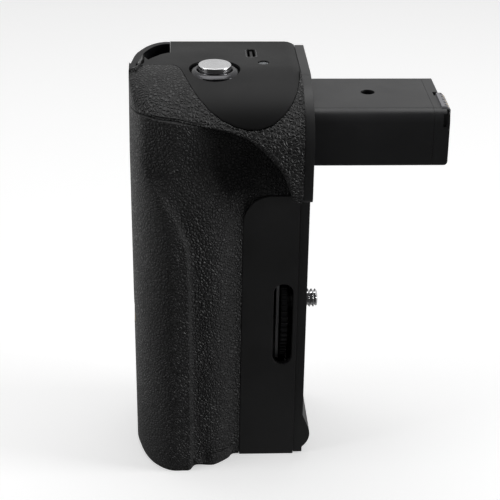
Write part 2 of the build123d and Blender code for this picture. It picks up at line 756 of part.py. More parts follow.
def shoulder_cover(forms):
    solid = forms["shoulder_out"] & above_crease()
    hollow = forms["shoulder_in"] & above_crease(-COVER_T)
    inner = block((LEFT_TOP_X - OVERRUN, SHOULDER_Y + LEDGE_D, SHOULDER_LOW_Z - OVERRUN),
                  (OVERRUN, BACK_Y + OVERRUN, TOP_Z + OVERRUN))
    hollow = hollow + (forms["shoulder_in"] & inner)
    cover = (solid - hollow) & in_front(SHOULDER_LOW_Z - OVERRUN, TOP_Z + OVERRUN)
    cover = cover - tongue_prism(SEAM_GAP)
    cover = cover - lug_prism(TOP_Z - LUG_DEPTH - LUG_FLOOR - SLIP, LUG_WALL + SLIP)
    cover = cover - arm_flange(SLIP)
    post = case_post(CASE_SCREW_EDGE_X, CASE_SCREW_Z[0], SHOULDER_Y)
    return cover + (post & forms["shoulder_out"])


def top_cover(forms):
    plate = forms["shoulder_out"] - forms["shoulder_in"]
    rear = block((LEFT_TOP_X - OVERRUN, SPLIT_Y + SEAM_GAP, TOP_Z - COVER_T),
                 (OVERRUN, BACK_Y + OVERRUN, TOP_Z + OVERRUN))
    front = tongue_prism() & block((LEFT_TOP_X, LOBE_Y - OVERRUN, 0),
                                   (OVERRUN, SPLIT_Y + SEAM_GAP, TOP_Z + OVERRUN))
    cover = (forms["shoulder_out"] & rear) + (plate & front)
    cover = cover - lug_prism(TOP_Z - LUG_DEPTH)
    cover = cover - rod_z(COLLAR_R + HOLE_GAP, TOP_Z - LUG_DEPTH, TOP_Z + OVERRUN, BUTTON_X, BUTTON_Y)
    cover = cover - rod_z(LAMP_R + SLIP, TOP_Z - LUG_DEPTH, TOP_Z + OVERRUN, LAMP_X, LAMP_Y)
    port = port_block(SLIP, TOP_Z - LUG_DEPTH, TOP_Z + OVERRUN)
    return cover - port + lug_fin()


def port_block(grow, z0, z1):
    """A rounded block the size of the port, grown or shrunk by a clearance."""
    low = (PORT_X - PORT_W / 2 - grow, PORT_Y - PORT_L / 2 - grow, z0)
    high = (PORT_X + PORT_W / 2 + grow, PORT_Y + PORT_L / 2 + grow, z1)
    return rounded_block(low, high, PORT_ROUND + grow)


def port_shell():
    outer = port_block(0, BOARD_TOP_Z, TOP_Z + SLIP)
    return outer - port_block(-PORT_WALL, BOARD_TOP_Z + PORT_WALL, TOP_Z + OVERRUN)


def port_tongue():
    low = (PORT_X - PORT_TONGUE_W / 2, PORT_Y - PORT_TONGUE_L / 2, BOARD_TOP_Z + PORT_WALL)
    high = (PORT_X + PORT_TONGUE_W / 2, PORT_Y + PORT_TONGUE_L / 2, TOP_Z - PORT_WALL)
    return block(low, high)


def indicator_lens():
    return rod_z(LAMP_R, BOARD_TOP_Z, TOP_Z - SLIP, LAMP_X, LAMP_Y)


def lug_fin():
    """Thin pointed fin that runs from the cover to the bar."""
    cx = LEFT_TOP_X + CORNER_W
    cy = BACK_Y - CORNER_D
    points = [Vector(cx + sx * CORNER_W, cy + sy * CORNER_D, TOP_Z - FIN_T) for sx, sy in FIN_SHARES]
    return Solid.extrude(Face(Wire.make_polygon(points, close=True)), Vector(0, 0, FIN_T))


def strap_well(forms):
    """Floor and inner wall of the lug's pocket, with the rib across it."""
    floor_z = TOP_Z - LUG_DEPTH
    low_z = floor_z - LUG_FLOOR
    outline = Solid.extrude(Face(plan_wire(low_z)), Vector(0, 0, HEIGHT))
    whole = outline & lug_prism(low_z, LUG_WALL)
    pocket = lug_prism(floor_z)
    well = whole - pocket - block((LEFT_TOP_X - OVERRUN, FRONT_START_Y - CORNER_D, TOP_Z - COVER_T - SLIP),
                                  (0, BACK_Y + OVERRUN, TOP_Z + OVERRUN))
    return well - block((LEFT_TOP_X - OVERRUN, SHOULDER_Y, floor_z), (0, FRONT_START_Y, TOP_Z))


def strap_bar():
    """Black bar that follows the outer corner over the pocket."""
    top = TOP_Z - BAR_TOP_DROP
    low = top - BAR_H
    ring = Solid.extrude(Face(plan_wire(low)), Vector(0, 0, BAR_H))
    ring = ring - Solid.extrude(Face(plan_wire(low - OVERRUN, BAR_T)), Vector(0, 0, HEIGHT))
    bar = ring & lug_prism(low - OVERRUN)
    return bar & block((LEFT_TOP_X - OVERRUN, SPLIT_Y - CORNER_W, low), (LUG_RIGHT_X, BACK_Y, top))


def seating_plate():
    plate = side_prism(PLATE_NOSE_Y, PLATE_TOP_Z, PLATE_BACK_Y, PLATE_SHOULDER_Z, PLATE_X, 0)
    plate = plate + block((PLATE_X, PLATE_FRONT_Y, PLATE_LOW_Z), (0, PLATE_BACK_Y, NOSE_LOW_Z))
    bends = [e for e in plate.edges().filter_by(Axis.X)
             if abs(e.center().Z - PLATE_SHOULDER_Z) < SLIP and e.center().Y < 0]
    plate = fillet(bends, PLATE_ROUND) + foot_lip()
    plate = plate - rod_x(SCREW_R + SCREW_HOLE_GAP, PLATE_X - OVERRUN, OVERRUN, 0, 0)
    plate = plate - rod_x(RELIEF_R, -RELIEF_D, OVERRUN, 0, 0)
    plate = plate - arm_opening()
    for y, z in plate_screw_places():
        plate = plate - plate_screw(y, z, HOLE_GAP)
    return plate


def plate_screw_places():
    return [(y, z) for y in PLATE_SCREW_Y for z in PLATE_SCREW_Z]


def plate_screw(y, z, grow=0):
    """A countersunk screw in the seating plate, or the hole for it."""
    drop = SLIP + SEAM_GAP
    over = OVERRUN if grow else 0
    cone = Pos(-drop - PLATE_HEAD_T / 2, y, z) * Rot(0, 90, 0) * Cone(
        PLATE_SCREW_R + grow, PLATE_HEAD_R + grow, PLATE_HEAD_T)
    shank = rod_x(PLATE_SCREW_R + grow, -drop - PLATE_SCREW_L - over, -drop - PLATE_HEAD_T / 2, y, z)
    screw = cone + shank
    if grow:
        screw = screw + rod_x(PLATE_HEAD_R + grow, -drop, over, y, z)
    return screw


def foot_lip():
    """Flare at the plate's low end that wraps the end of the camera."""
    y0 = PLATE_FRONT_Y
    drop = PLATE_LOW_Z - LIP_START_Z
    curve = [Vector(0, y0, LIP_START_Z)]
    curve += [Vector(LIP_REACH * sr, y0, LIP_START_Z + sh * drop) for sh, sr in LIP_SHARES]
    end = Vector(PLATE_X, y0, PLATE_LOW_Z)
    curve.append(end)
    back = Vector(PLATE_X, y0, LIP_START_Z)
    edges = [Edge.make_spline(curve), Edge.make_line(end, back), Edge.make_line(back, curve[0])]
    return Solid.extrude(Face(Wire(edges)), Vector(0, PLATE_BACK_Y - PLATE_FRONT_Y, 0))


def bent_outline(corners, at):
    """Closed wire through corner points, each with its own rounding radius."""
    edges = []
    ends = []
    count = len(corners)
    for i, (u, v, radius) in enumerate(corners):
        pu, pv, unused = corners[i - 1]
        nu, nv, unused = corners[(i + 1) % count]
        before = Vector(pu - u, pv - v, 0).normalized()
        after = Vector(nu - u, nv - v, 0).normalized()
        corner = Vector(u, v, 0)
        start = corner + before * radius
        finish = corner + after * radius
        centre = corner + (before + after) * radius
        middle = centre + (corner - centre).normalized() * radius
        edges.append(Edge.make_three_point_arc(at(start), at(middle), at(finish)))
        ends.append((start, finish))
    for i, (start, finish) in enumerate(ends):
        edges.append(Edge.make_line(at(finish), at(ends[(i + 1) % count][0])))
    return Wire(edges)


def arm_profile(x0, x1, grow=0):
    """The arm's section pushed along X: one big round on its top front edge."""
    front = ARM_FRONT_Y - grow
    back = ARM_BACK_Y + grow
    low = ARM_LOW_Z - grow
    high = ARM_TOP_Z + grow
    small = max(ARM_SMALL_R + grow, ARM_SMALL_R / 2)
    corners = [(front, low, small), (back, low, small), (back, high, small),
               (front, high, ARM_EDGE_R + grow)]
    wire = bent_outline(corners, lambda p: Vector(x0, p.X, p.Y))
    return Solid.extrude(Face(wire), Vector(x1 - x0, 0, 0))


def arm_opening():
    return arm_profile(PLATE_X - OVERRUN, OVERRUN, ARM_FIT)


def arm_flange(grow=0):
    """Flange at the arm's root, behind the plate."""
    side = ARM_FLANGE + grow
    return block((PLATE_X - ARM_FLANGE_T - grow, ARM_FRONT_Y - side, ARM_LOW_Z - side),
                 (PLATE_X - SLIP + grow, ARM_BACK_Y + side, ARM_TOP_Z + side))


def arm_shell():
    cap_x = ARM_REACH - ARM_CAP_L
    root_x = PLATE_X - ARM_FLANGE_T
    arm = arm_profile(root_x, cap_x) + arm_flange()
    arm = arm - arm_profile(root_x - OVERRUN, cap_x + OVERRUN, -ARM_WALL)
    return arm - rod_z(ARM_HOLE_R, ARM_TOP_Z - 2 * ARM_WALL, ARM_TOP_Z + OVERRUN, ARM_HOLE_X, ARM_HOLE_Y)


def contact_seat(grow=0):
    """The corner of the arm's end that holds the contact block."""
    return block((CONTACT_X - grow, CONTACT_FRONT_Y - grow, ARM_TOP_Z - CONTACT_DEPTH - grow),
                 (ARM_REACH + OVERRUN, CONTACT_BACK_Y + grow, ARM_TOP_Z + OVERRUN))


def arm_end_block():
    cap_x = ARM_REACH - ARM_CAP_L + SLIP
    cap = arm_profile(cap_x, ARM_REACH)
    cap = cap - block((ARM_REACH - ARM_STEP, ARM_STEP_Y, ARM_LOW_Z - OVERRUN),
                      (ARM_REACH + OVERRUN, ARM_BACK_Y + OVERRUN, ARM_TOP_Z + OVERRUN))
    pocket = arm_profile(cap_x - OVERRUN, CONTACT_X - ARM_WALL, -ARM_WALL)
    cap = cap - pocket - contact_seat(CONTACT_SEAT)
    cap = cap - block((ARM_REACH - NOTCH_BACK, CONTACT_BACK_Y - OVERRUN, ARM_TOP_Z - NOTCH_D),
                      (ARM_REACH + OVERRUN, ARM_STEP_Y, ARM_TOP_Z + OVERRUN))
    slot_low = ARM_TOP_Z - SIDE_SLOT_DROP
    slot_x = ARM_REACH - SIDE_SLOT_BACK
    cap = cap - block((slot_x, ARM_FRONT_Y - OVERRUN, slot_low),
                      (slot_x + SIDE_SLOT_W, ARM_FRONT_Y + SIDE_SLOT_D, slot_low + SIDE_SLOT_H))
    return cap - block((ARM_REACH - END_SLOT_D, END_SLOT_Y, slot_low),
                       (ARM_REACH + OVERRUN, END_SLOT_Y + END_SLOT_W, slot_low + SIDE_SLOT_H))


def contact_groove_places():
    """Middles of the grooves across the contact block."""
    pitch = (CONTACT_BACK_Y - CONTACT_FRONT_Y) / CONTACT_COUNT
    return [CONTACT_FRONT_Y + pitch / 2 + pitch * i for i in range(CONTACT_COUNT)]


def contact_block():
    """Pale block in the arm's end, grooved for the contacts."""
    top = ARM_TOP_Z + CONTACT_PROUD
    end = ARM_REACH + CONTACT_PROUD
    piece = block((CONTACT_X, CONTACT_FRONT_Y, ARM_TOP_Z - CONTACT_DEPTH), (end, CONTACT_BACK_Y, top))
    corner = piece.edges().filter_by(Axis.Y).sort_by(Axis.X)[-2:].sort_by(Axis.Z)[-1]
    piece = chamfer(corner, CONTACT_BEVEL)
    for y in contact_groove_places():
        piece = piece - block((CONTACT_X + CONTACT_GROOVE, y - CONTACT_GROOVE / 2, top - CONTACT_GROOVE_D),
                              (end + OVERRUN, y + CONTACT_GROOVE / 2, top + OVERRUN))
    return piece


def arm_contacts():
    """Flat contact leaves, one on the floor of each groove."""
    floor = ARM_TOP_Z + CONTACT_PROUD - CONTACT_GROOVE_D
    half = CONTACT_GROOVE / 2 - CONTACT_SEAT
    leaves = [block((CONTACT_X + CONTACT_GROOVE + CONTACT_SEAT, y - half, floor),
                    (ARM_REACH, y + half, floor + CONTACT_LEAF)) for y in contact_groove_places()]
    return Compound(children=[leaf.solid() for leaf in leaves])


def arm_ribbon():
    x1 = CONTACT_X - ARM_WALL - SLIP
    z0 = ARM_LOW_Z + ARM_H / 2
    x0 = RIBBON_X - RIBBON_W / 2
    return block((x0, RIBBON_Y - RIBBON_W - SLIP, z0), (x1, RIBBON_Y - SLIP, z0 + RIBBON_T))


def wheel_outline():
    """Rim of the thumbwheel with shallow notches."""
    points = []
    turn = 2 * math.pi / WHEEL_NOTCHES
    for i in range(WHEEL_NOTCHES):
        for share, depth in NOTCH_SHARES:
            angle = (i + share) * turn
            radius = WHEEL_R - depth * WHEEL_NOTCH_D
            points.append((radius * math.cos(angle), radius * math.sin(angle)))
    return points


def thumbwheel():
    x0 = WHEEL_X - WHEEL_T / 2
    ring = [Vector(x0, y, z) for y, z in wheel_outline()]
    wheel = Solid.extrude(Face(Wire.make_polygon(ring, close=True)), Vector(WHEEL_T, 0, 0))
    return wheel - rod_x(BOSS_R, x0 - OVERRUN, x0 + WHEEL_T + OVERRUN, 0, 0)


def camera_screw():
    """Screw with a thin neck through the plate, so only its free end has the thread's size."""
    back = WHEEL_X - WHEEL_T / 2
    front = PLATE_X - FLANGE_GAP
    boss_end = WHEEL_X + WHEEL_T / 2
    screw = rod_x(BOSS_R, back, boss_end, 0, 0) + rod_x(FLANGE_R, boss_end, front, 0, 0)
    screw = screw + rod_x(SCREW_NECK_R, front, 0, 0, 0)
    thread = rod_x(SCREW_R, -SCREW_SINK, SCREW_REACH, 0, 0)
    tip = thread.edges().filter_by(GeomType.CIRCLE).sort_by(Axis.X)[-1]
    screw = screw + chamfer(tip, SCREW_TIP)
    bore_end = back + WHEEL_T - AXLE_CAP
    return screw - rod_x(AXLE_R + AXLE_FIT, back - OVERRUN, bore_end, 0, 0)


def wheel_carrier():
    x1 = WHEEL_X - WHEEL_T / 2 - CARRIER_GAP
    x0 = x1 - CARRIER_T
    plate = block((x0, -CARRIER_HALF, -CARRIER_HALF), (x1, CARRIER_HALF, CARRIER_HALF))
    return plate - rod_x(AXLE_R, x0 - OVERRUN, x1 + OVERRUN, 0, 0)


def wheel_axle():
    x0 = WHEEL_X - WHEEL_T / 2 - CARRIER_GAP - CARRIER_T
    x1 = WHEEL_X + WHEEL_T / 2 - AXLE_CAP - AXLE_FIT - SLIP
    return rod_x(AXLE_R, x0, x1, 0, 0)


def shutter_collar(forms):
    low = COLLAR_TOP_Z - COLLAR_T
    ring = rod_z(COLLAR_R, low, COLLAR_TOP_Z, BUTTON_X, BUTTON_Y)
    top = ring.edges().filter_by(GeomType.CIRCLE).sort_by(Axis.Z)[-1]
    ring = chamfer(top, COLLAR_BEVEL)
    flange = rod_z(COLLAR_R + COLLAR_FLANGE, low, TOP_Z - COVER_T - SLIP, BUTTON_X, BUTTON_Y)
    ring = ring + (flange & forms["shoulder_in"])
    ring = ring - rod_z(CAP_R + CAP_GAP, low + COLLAR_SEAT, COLLAR_TOP_Z + OVERRUN, BUTTON_X, BUTTON_Y)
    return ring - rod_z(STEM_R + STEM_FIT, low - OVERRUN, COLLAR_TOP_Z, BUTTON_X, BUTTON_Y)


def shutter_cap():
    cap = rod_z(CAP_R, CAP_TOP_Z - CAP_T, CAP_TOP_Z, BUTTON_X, BUTTON_Y)
    rim = cap.edges().filter_by(GeomType.CIRCLE).sort_by(Axis.Z)[-1]
    cap = fillet(rim, CAP_EDGE)
    return cap - rod_z(STEM_R, CAP_TOP_Z - CAP_T - OVERRUN, CAP_TOP_Z - CAP_T / 2, BUTTON_X, BUTTON_Y)


def switch_top_z():
    return BOARD_TOP_Z + SWITCH_H


def shutter_stem():
    return rod_z(STEM_R, switch_top_z() + BUTTON_TRAVEL + SEAM_GAP, CAP_TOP_Z - CAP_T / 2,
                 BUTTON_X, BUTTON_Y)


def shutter_spring():
    """Coil between the collar's floor and the cap."""
    z0 = COLLAR_TOP_Z - COLLAR_T + COLLAR_SEAT + SPRING_WIRE_R + SLIP
    z1 = CAP_TOP_Z - CAP_T - SPRING_WIRE_R - SLIP
    helix = Pos(BUTTON_X, BUTTON_Y, z0) * Helix((z1 - z0) / SPRING_TURNS, z1 - z0, SPRING_R)
    start = helix @ 0
    section = Plane(origin=start, z_dir=helix % 0) * Circle(SPRING_WIRE_R)
    return sweep(section, path=helix)


def shutter_switch():
    half = SWITCH_W / 2
    base = block((BUTTON_X - half, BUTTON_Y - half, BOARD_TOP_Z),
                 (BUTTON_X + half, BUTTON_Y + half, switch_top_z() - BUTTON_TRAVEL))
    return base + rod_z(SWITCH_PLUNGER_R, switch_top_z() - BUTTON_TRAVEL, switch_top_z(), BUTTON_X, BUTTON_Y)


def control_board():
    return block((BOARD_LEFT_X, BOARD_FRONT_Y, BOARD_TOP_Z - BOARD_T),
                 (BOARD_RIGHT_X, BOARD_BACK_Y, BOARD_TOP_Z))


def box_outline(low_z, high_z, grow=0):
    """Rounded block the size of the battery box, grown by a clearance."""
    low = (BOX_LEFT_X - grow, BOX_FRONT_Y - grow, low_z)
    high = (BOX_RIGHT_X + grow, BOX_BACK_Y + grow, high_z)
    return rounded_block(low, high, BOX_CORNER_R + BOX_WALL + grow)


def bay_left_edges():
    """Left edge of each battery bay."""
    step = CELL_W + CELL_GAP_W + BOX_WALL
    return [BOX_LEFT_X + BOX_WALL, BOX_LEFT_X + BOX_WALL + step]


def battery_box():
    box = box_outline(BOX_LOW_Z, BOX_TOP_Z)
    for x in bay_left_edges():
        low = (x, BOX_FRONT_Y + BOX_WALL, BOX_LOW_Z - OVERRUN)
        high = (x + CELL_W + CELL_GAP_W, BOX_BACK_Y - BOX_WALL, BOX_CEILING_Z)
        box = box - rounded_block(low, high, BOX_CORNER_R)
    far = (CASE_SCREW_FAR_X, CASE_SCREW_Z[2])
    box = box + case_post(far[0], far[1], BOX_BACK_Y)
    box = box - rod_y(CASE_SCREW_R + THREAD_FIT, BOX_BACK_Y, BACK_Y, far[0], far[1])
    for x, y in blade_places():
        half = BLADE_W / 2 + HOLE_GAP
        box = box - block((x - BLADE_T / 2 - HOLE_GAP, y - half, BOX_CEILING_Z - OVERRUN),
                          (x + BLADE_T / 2 + HOLE_GAP, y + half, BOX_TOP_Z + OVERRUN))
    for x in catch_middles():
        half = CATCH_W / 2 + CATCH_GAP
        box = box - block((x - half, BOX_BACK_Y - BOX_WALL - OVERRUN, BOX_LOW_Z - OVERRUN),
                          (x + half, BOX_BACK_Y + OVERRUN, BOX_LOW_Z + CATCH_H + 2 * CATCH_GAP))
    return box


def blade_places():
    """Places of the spring contacts over the bays."""
    places = []
    for x in bay_left_edges():
        middle = x + (CELL_W + CELL_GAP_W) / 2
        places += [(middle, BOX_MID_Y + k * BLADE_PITCH) for k in (-1, 0, 1)]
    return places


def battery_contacts():
    blades = [block((x - BLADE_T / 2, y - BLADE_W / 2, BOX_CEILING_Z - BLADE_DROP),
                    (x + BLADE_T / 2, y + BLADE_W / 2, CONTACT_BOARD_Z)) for x, y in blade_places()]
    return Compound(children=[b.solid() for b in blades])


def contact_board():
    inset = BOX_CORNER_R
    return block((BOX_LEFT_X + inset, BOX_FRONT_Y + inset, CONTACT_BOARD_Z),
                 (BOX_RIGHT_X - inset, BOX_BACK_Y - inset, CONTACT_BOARD_Z + CONTACT_BOARD_T))


def board_ribbon():
    return block((RIBBON_X - RIBBON_W / 2, RIBBON_Y, CONTACT_BOARD_Z + CONTACT_BOARD_T),
                 (RIBBON_X + RIBBON_W / 2, RIBBON_Y + RIBBON_T, BOARD_TOP_Z - BOARD_T))


def catch_middles():
    return [x + (CELL_W + CELL_GAP_W) / 2 for x in bay_left_edges()]


def battery_catch(x):
    """A small sprung catch that reaches over the mouth of its bay."""
    y0 = BOX_BACK_Y - BOX_WALL - CATCH_BITE
    z0 = BOX_LOW_Z + CATCH_GAP
    catch = block((x - CATCH_W / 2, y0, z0), (x + CATCH_W / 2, y0 + CATCH_L, z0 + CATCH_H))
    nose = catch.edges().filter_by(Axis.X).sort_by(Axis.Y)[:2].sort_by(Axis.Z)[0]
    half = CATCH_W / 2 + CATCH_HEAD
    head = block((x - half, BOX_BACK_Y + CATCH_GAP, z0), (x + half, y0 + CATCH_L, z0 + CATCH_H))
    return chamfer(nose, CATCH_BEVEL) + head


def knuckle_middles():
    middle = (BOX_LEFT_X + BOX_RIGHT_X) / 2
    return [middle - KNUCKLE_SPAN / 2, middle + KNUCKLE_SPAN / 2]


def pin_ends():
    outer = KNUCKLE_SPAN / 2 + KNUCKLE_W / 2 + PIN_END
    middle = (BOX_LEFT_X + BOX_RIGHT_X) / 2
    return middle - outer, middle + outer


def foot_frame(forms):
    frame = forms["grip_out"] & block((LEFT_TOP_X, LOBE_Y - OVERRUN, FOOT_Z), (OVERRUN, BACK_Y, FOOT_RIM_Z))
    hollow = forms["rear_in"] & block((LEFT_TOP_X, LOBE_Y, FLOOR_Z), (OVERRUN, BACK_Y, FOOT_RIM_Z + OVERRUN))
    frame = frame - hollow
    recess = panel_prism(SEAM_GAP) & block((SEAM_X - OVERRUN, PANEL_Y - OVERRUN, FOOT_Z - OVERRUN),
                                           (OVERRUN, PANEL_Y + PANEL_T + SLIP, 0))
    frame = frame - recess - box_outline(FOOT_Z - OVERRUN, FLOOR_Z + OVERRUN, DOOR_GAP)
    for x in knuckle_middles():
        half = KNUCKLE_W / 2 + KNUCKLE_SIDE
        reach = PIN_Y + KNUCKLE_R + KNUCKLE_POCKET
        frame = frame - block((x - half, BOX_BACK_Y - OVERRUN, FOOT_Z - OVERRUN),
                              (x + half, reach, FLOOR_Z + OVERRUN))
    x0, x1 = pin_ends()
    frame = frame - rod_x(PIN_R, x0, x1, PIN_Y, PIN_Z)
    half = LATCH_W / 2 + LATCH_SIDE
    pocket = block((LATCH_X - half, BOX_FRONT_Y - LATCH_REACH - 2 * DOOR_GAP, DOOR_TOP_Z),
                   (LATCH_X + half, BOX_FRONT_Y + OVERRUN, FLOOR_Z + OVERRUN))
    return frame - pocket


def door_pin():
    x0, x1 = pin_ends()
    return rod_x(PIN_R, x0, x1, PIN_Y, PIN_Z)


def battery_door():
    low = (BOX_LEFT_X, BOX_FRONT_Y, DOOR_LOW_Z)
    high = (BOX_RIGHT_X, BOX_BACK_Y - DOOR_HINGE_GAP / 2, DOOR_TOP_Z)
    door = rounded_block(low, high, BOX_CORNER_R + BOX_WALL)
    for x in knuckle_middles():
        half = KNUCKLE_W / 2
        door = door + rod_x(KNUCKLE_R, x - half, x + half, PIN_Y, PIN_Z)
        door = door + block((x - half, BOX_BACK_Y - 2 * KNUCKLE_R, DOOR_LOW_Z),
                            (x + half, PIN_Y, DOOR_TOP_Z))
    for x in knuckle_middles():
        half = KNUCKLE_W / 2 + OVERRUN
        door = door - rod_x(PIN_R + PIN_FIT, x - half, x + half, PIN_Y, PIN_Z)
    half = LATCH_TAB_W / 2 + LATCH_SIDE
    y0 = latch_tab_y() - LATCH_SIDE
    y1 = latch_tab_y() + LATCH_TAB_L + LATCH_TRAVEL + LATCH_SIDE
    return door - block((LATCH_X - half, y0, DOOR_LOW_Z - OVERRUN),
                        (LATCH_X + half, y1, DOOR_TOP_Z + OVERRUN))


def latch_tab_y():
    return BOX_FRONT_Y + LATCH_BACK / 2 - LATCH_TAB_L / 2


def door_latch():
    z0 = DOOR_TOP_Z + LATCH_GAP
    y0 = BOX_FRONT_Y - LATCH_REACH
    slide = block((LATCH_X - LATCH_W / 2, y0, z0),
                  (LATCH_X + LATCH_W / 2, BOX_FRONT_Y + LATCH_BACK, z0 + LATCH_T))
    tab_y = latch_tab_y()
    tab = block((LATCH_X - LATCH_TAB_W / 2, tab_y, DOOR_LOW_Z),
                (LATCH_X + LATCH_TAB_W / 2, tab_y + LATCH_TAB_L, z0))
    nose = slide.faces().sort_by(Axis.Y)[0].edges().filter_by(Axis.X)
    return chamfer(nose, LATCH_BEVEL) + tab


def power_seat():
    """Recess and slot for the power knob in the back."""
    half_w = (KNOB_W + POWER_TRAVEL) / 2 + KNOB_STEM_FIT
    half_h = KNOB_H / 2 + KNOB_STEM_FIT
    recess = block((POWER_X - half_w + POWER_TRAVEL / 2, BACK_Y - KNOB_RECESS, POWER_Z - half_h),
                   (POWER_X + half_w + POWER_TRAVEL / 2, BACK_Y + OVERRUN, POWER_Z + half_h))
    stem_w = KNOB_STEM_W / 2 + KNOB_STEM_FIT
    stem_h = KNOB_STEM_H / 2 + KNOB_STEM_FIT
    slot = block((POWER_X - stem_w, BACK_Y - REAR_WALL - OVERRUN, POWER_Z - stem_h),
                 (POWER_X + stem_w + POWER_TRAVEL, BACK_Y + OVERRUN, POWER_Z + stem_h))
    return recess + slot


def power_knob():
    face = BACK_Y - KNOB_RECESS + KNOB_GAP
    knob = block((POWER_X - KNOB_W / 2, face, POWER_Z - KNOB_H / 2),
                 (POWER_X + KNOB_W / 2, face + KNOB_T, POWER_Z + KNOB_H / 2))
    outer = knob.faces().sort_by(Axis.Y)[-1].edges()
    knob = chamfer(outer, KNOB_T / 4)
    stem = block((POWER_X - KNOB_STEM_W / 2, face - KNOB_STEM_L, POWER_Z - KNOB_STEM_H / 2),
                 (POWER_X + KNOB_STEM_W / 2, face, POWER_Z + KNOB_STEM_H / 2))
    return knob + stem


def power_switch():
    """Slide switch fixed behind the back wall; its channel takes the knob's stem."""
    back = BACK_Y - REAR_WALL - SLIP
    mid_x = POWER_X + POWER_TRAVEL / 2
    half_w = POWER_SWITCH_W / 2 + KNOB_STEM_W / 2
    half_h = POWER_SWITCH_H / 2
    body = block((mid_x - half_w, back - POWER_SWITCH_D, POWER_Z - half_h),
                 (mid_x + half_w, back, POWER_Z + half_h))
    stem_w = KNOB_STEM_W / 2 + KNOB_STEM_FIT
    stem_h = KNOB_STEM_H / 2 + KNOB_STEM_FIT
    tip = BACK_Y - KNOB_RECESS + KNOB_GAP - KNOB_STEM_L - KNOB_STEM_FIT
    channel = block((POWER_X - stem_w, tip, POWER_Z - stem_h),
                    (POWER_X + stem_w + POWER_TRAVEL, back + OVERRUN, POWER_Z + stem_h))
    return body - channel


def rest_sheet(grow, y0, y1):
    """The thumb rest's outline on the back, pushed along Y."""
    width = REST_RIGHT_X - REST_LEFT_X + 2 * grow
    height = REST_HIGH_Z - REST_LOW_Z + 2 * grow
    sheet = RectangleRounded(width, height, REST_ROUND + grow)
    middle = ((REST_LEFT_X + REST_RIGHT_X) / 2, y1, (REST_LOW_Z + REST_HIGH_Z) / 2)
    return Pos(*middle) * Rot(90, 0, 0) * extrude(sheet, y1 - y0)


def thumb_rest_seat():
    return rest_sheet(SLIP, BACK_Y - REST_SINK, BACK_Y + OVERRUN)


def thumb_rest():
    pad = rest_sheet(0, BACK_Y - REST_SINK + SLIP, BACK_Y - REST_SINK + REST_T)
    return fillet(pad.faces().sort_by(Axis.Y)[-1].edges(), REST_SINK / 2)


def tripod_face_x():
    return left_x(TRIPOD_Z) + TRIPOD_SINK


def tripod_insert():
    x0 = tripod_face_x()
    x1 = x0 + TRIPOD_LENGTH
    flange_x = left_x(TRIPOD_Z) + RUBBER_T + WALL + TRIPOD_FLANGE_GAP
    insert = rod_x(TRIPOD_BODY_R, x0, x1, TRIPOD_Y, TRIPOD_Z)
    insert = insert + rod_x(TRIPOD_FLANGE_R, flange_x, flange_x + TRIPOD_FLANGE_T, TRIPOD_Y, TRIPOD_Z)
    return insert - rod_x(TRIPOD_THREAD_R, x0 - OVERRUN, x1 + OVERRUN, TRIPOD_Y, TRIPOD_Z)


def case_screws():
    screws = []
    for x, z in case_screw_places():
        head_y = BACK_Y - HOLE_GAP
        head = rod_y(CASE_HEAD_R, head_y - CASE_HEAD_T + HOLE_GAP, head_y, x, z)
        shank = rod_y(CASE_SCREW_R, BACK_Y - CASE_SCREW_L, head_y - CASE_HEAD_T + HOLE_GAP, x, z)
        screws.append((head + shank).solid())
    return Compound(children=screws)


def plate_screws():
    return Compound(children=[plate_screw(y, z).solid() for y, z in plate_screw_places()])


def all_parts():
    forms = main_forms()
    left_catch, right_catch = catch_middles()
    return {
        "front_shell": front_shell(forms),
        "rear_shell": rear_shell(forms),
        "grip_rubber": grip_rubber(forms),
        "front_panel": front_panel(),
        "shoulder_cover": shoulder_cover(forms),
        "top_cover": top_cover(forms),
        "foot_frame": foot_frame(forms),
        "seating_plate": seating_plate(),
        "arm_shell": arm_shell(),
        "arm_end_block": arm_end_block(),
        "contact_block": contact_block(),
        "arm_contacts": arm_contacts(),
        "arm_ribbon": arm_ribbon(),
        "thumbwheel": thumbwheel(),
        "camera_screw": camera_screw(),
        "wheel_carrier": wheel_carrier(),
        "wheel_axle": wheel_axle(),
        "shutter_collar": shutter_collar(forms),
        "shutter_cap": shutter_cap(),
        "shutter_stem": shutter_stem(),
        "shutter_spring": shutter_spring(),
        "shutter_switch": shutter_switch(),
        "control_board": control_board(),
        "port_shell": port_shell(),
        "port_tongue": port_tongue(),
        "indicator_lens": indicator_lens(),
        "strap_well": strap_well(forms),
        "strap_bar": strap_bar(),
        "battery_box": battery_box(),
        "battery_contacts": battery_contacts(),
        "contact_board": contact_board(),
        "board_ribbon": board_ribbon(),
        "catch_left": battery_catch(left_catch),
        "catch_right": battery_catch(right_catch),
        "battery_door": battery_door(),
        "door_pin": door_pin(),
        "door_latch": door_latch(),
        "power_knob": power_knob(),
        "power_switch": power_switch(),
        "thumb_rest": thumb_rest(),
        "tripod_insert": tripod_insert(),
        "case_screws": case_screws(),
        "plate_screws": plate_screws(),
    }


os.makedirs("parts", exist_ok=True)
for name, shape in all_parts().items():
    export_step(shape_of(shape), "parts/" + name + ".step")
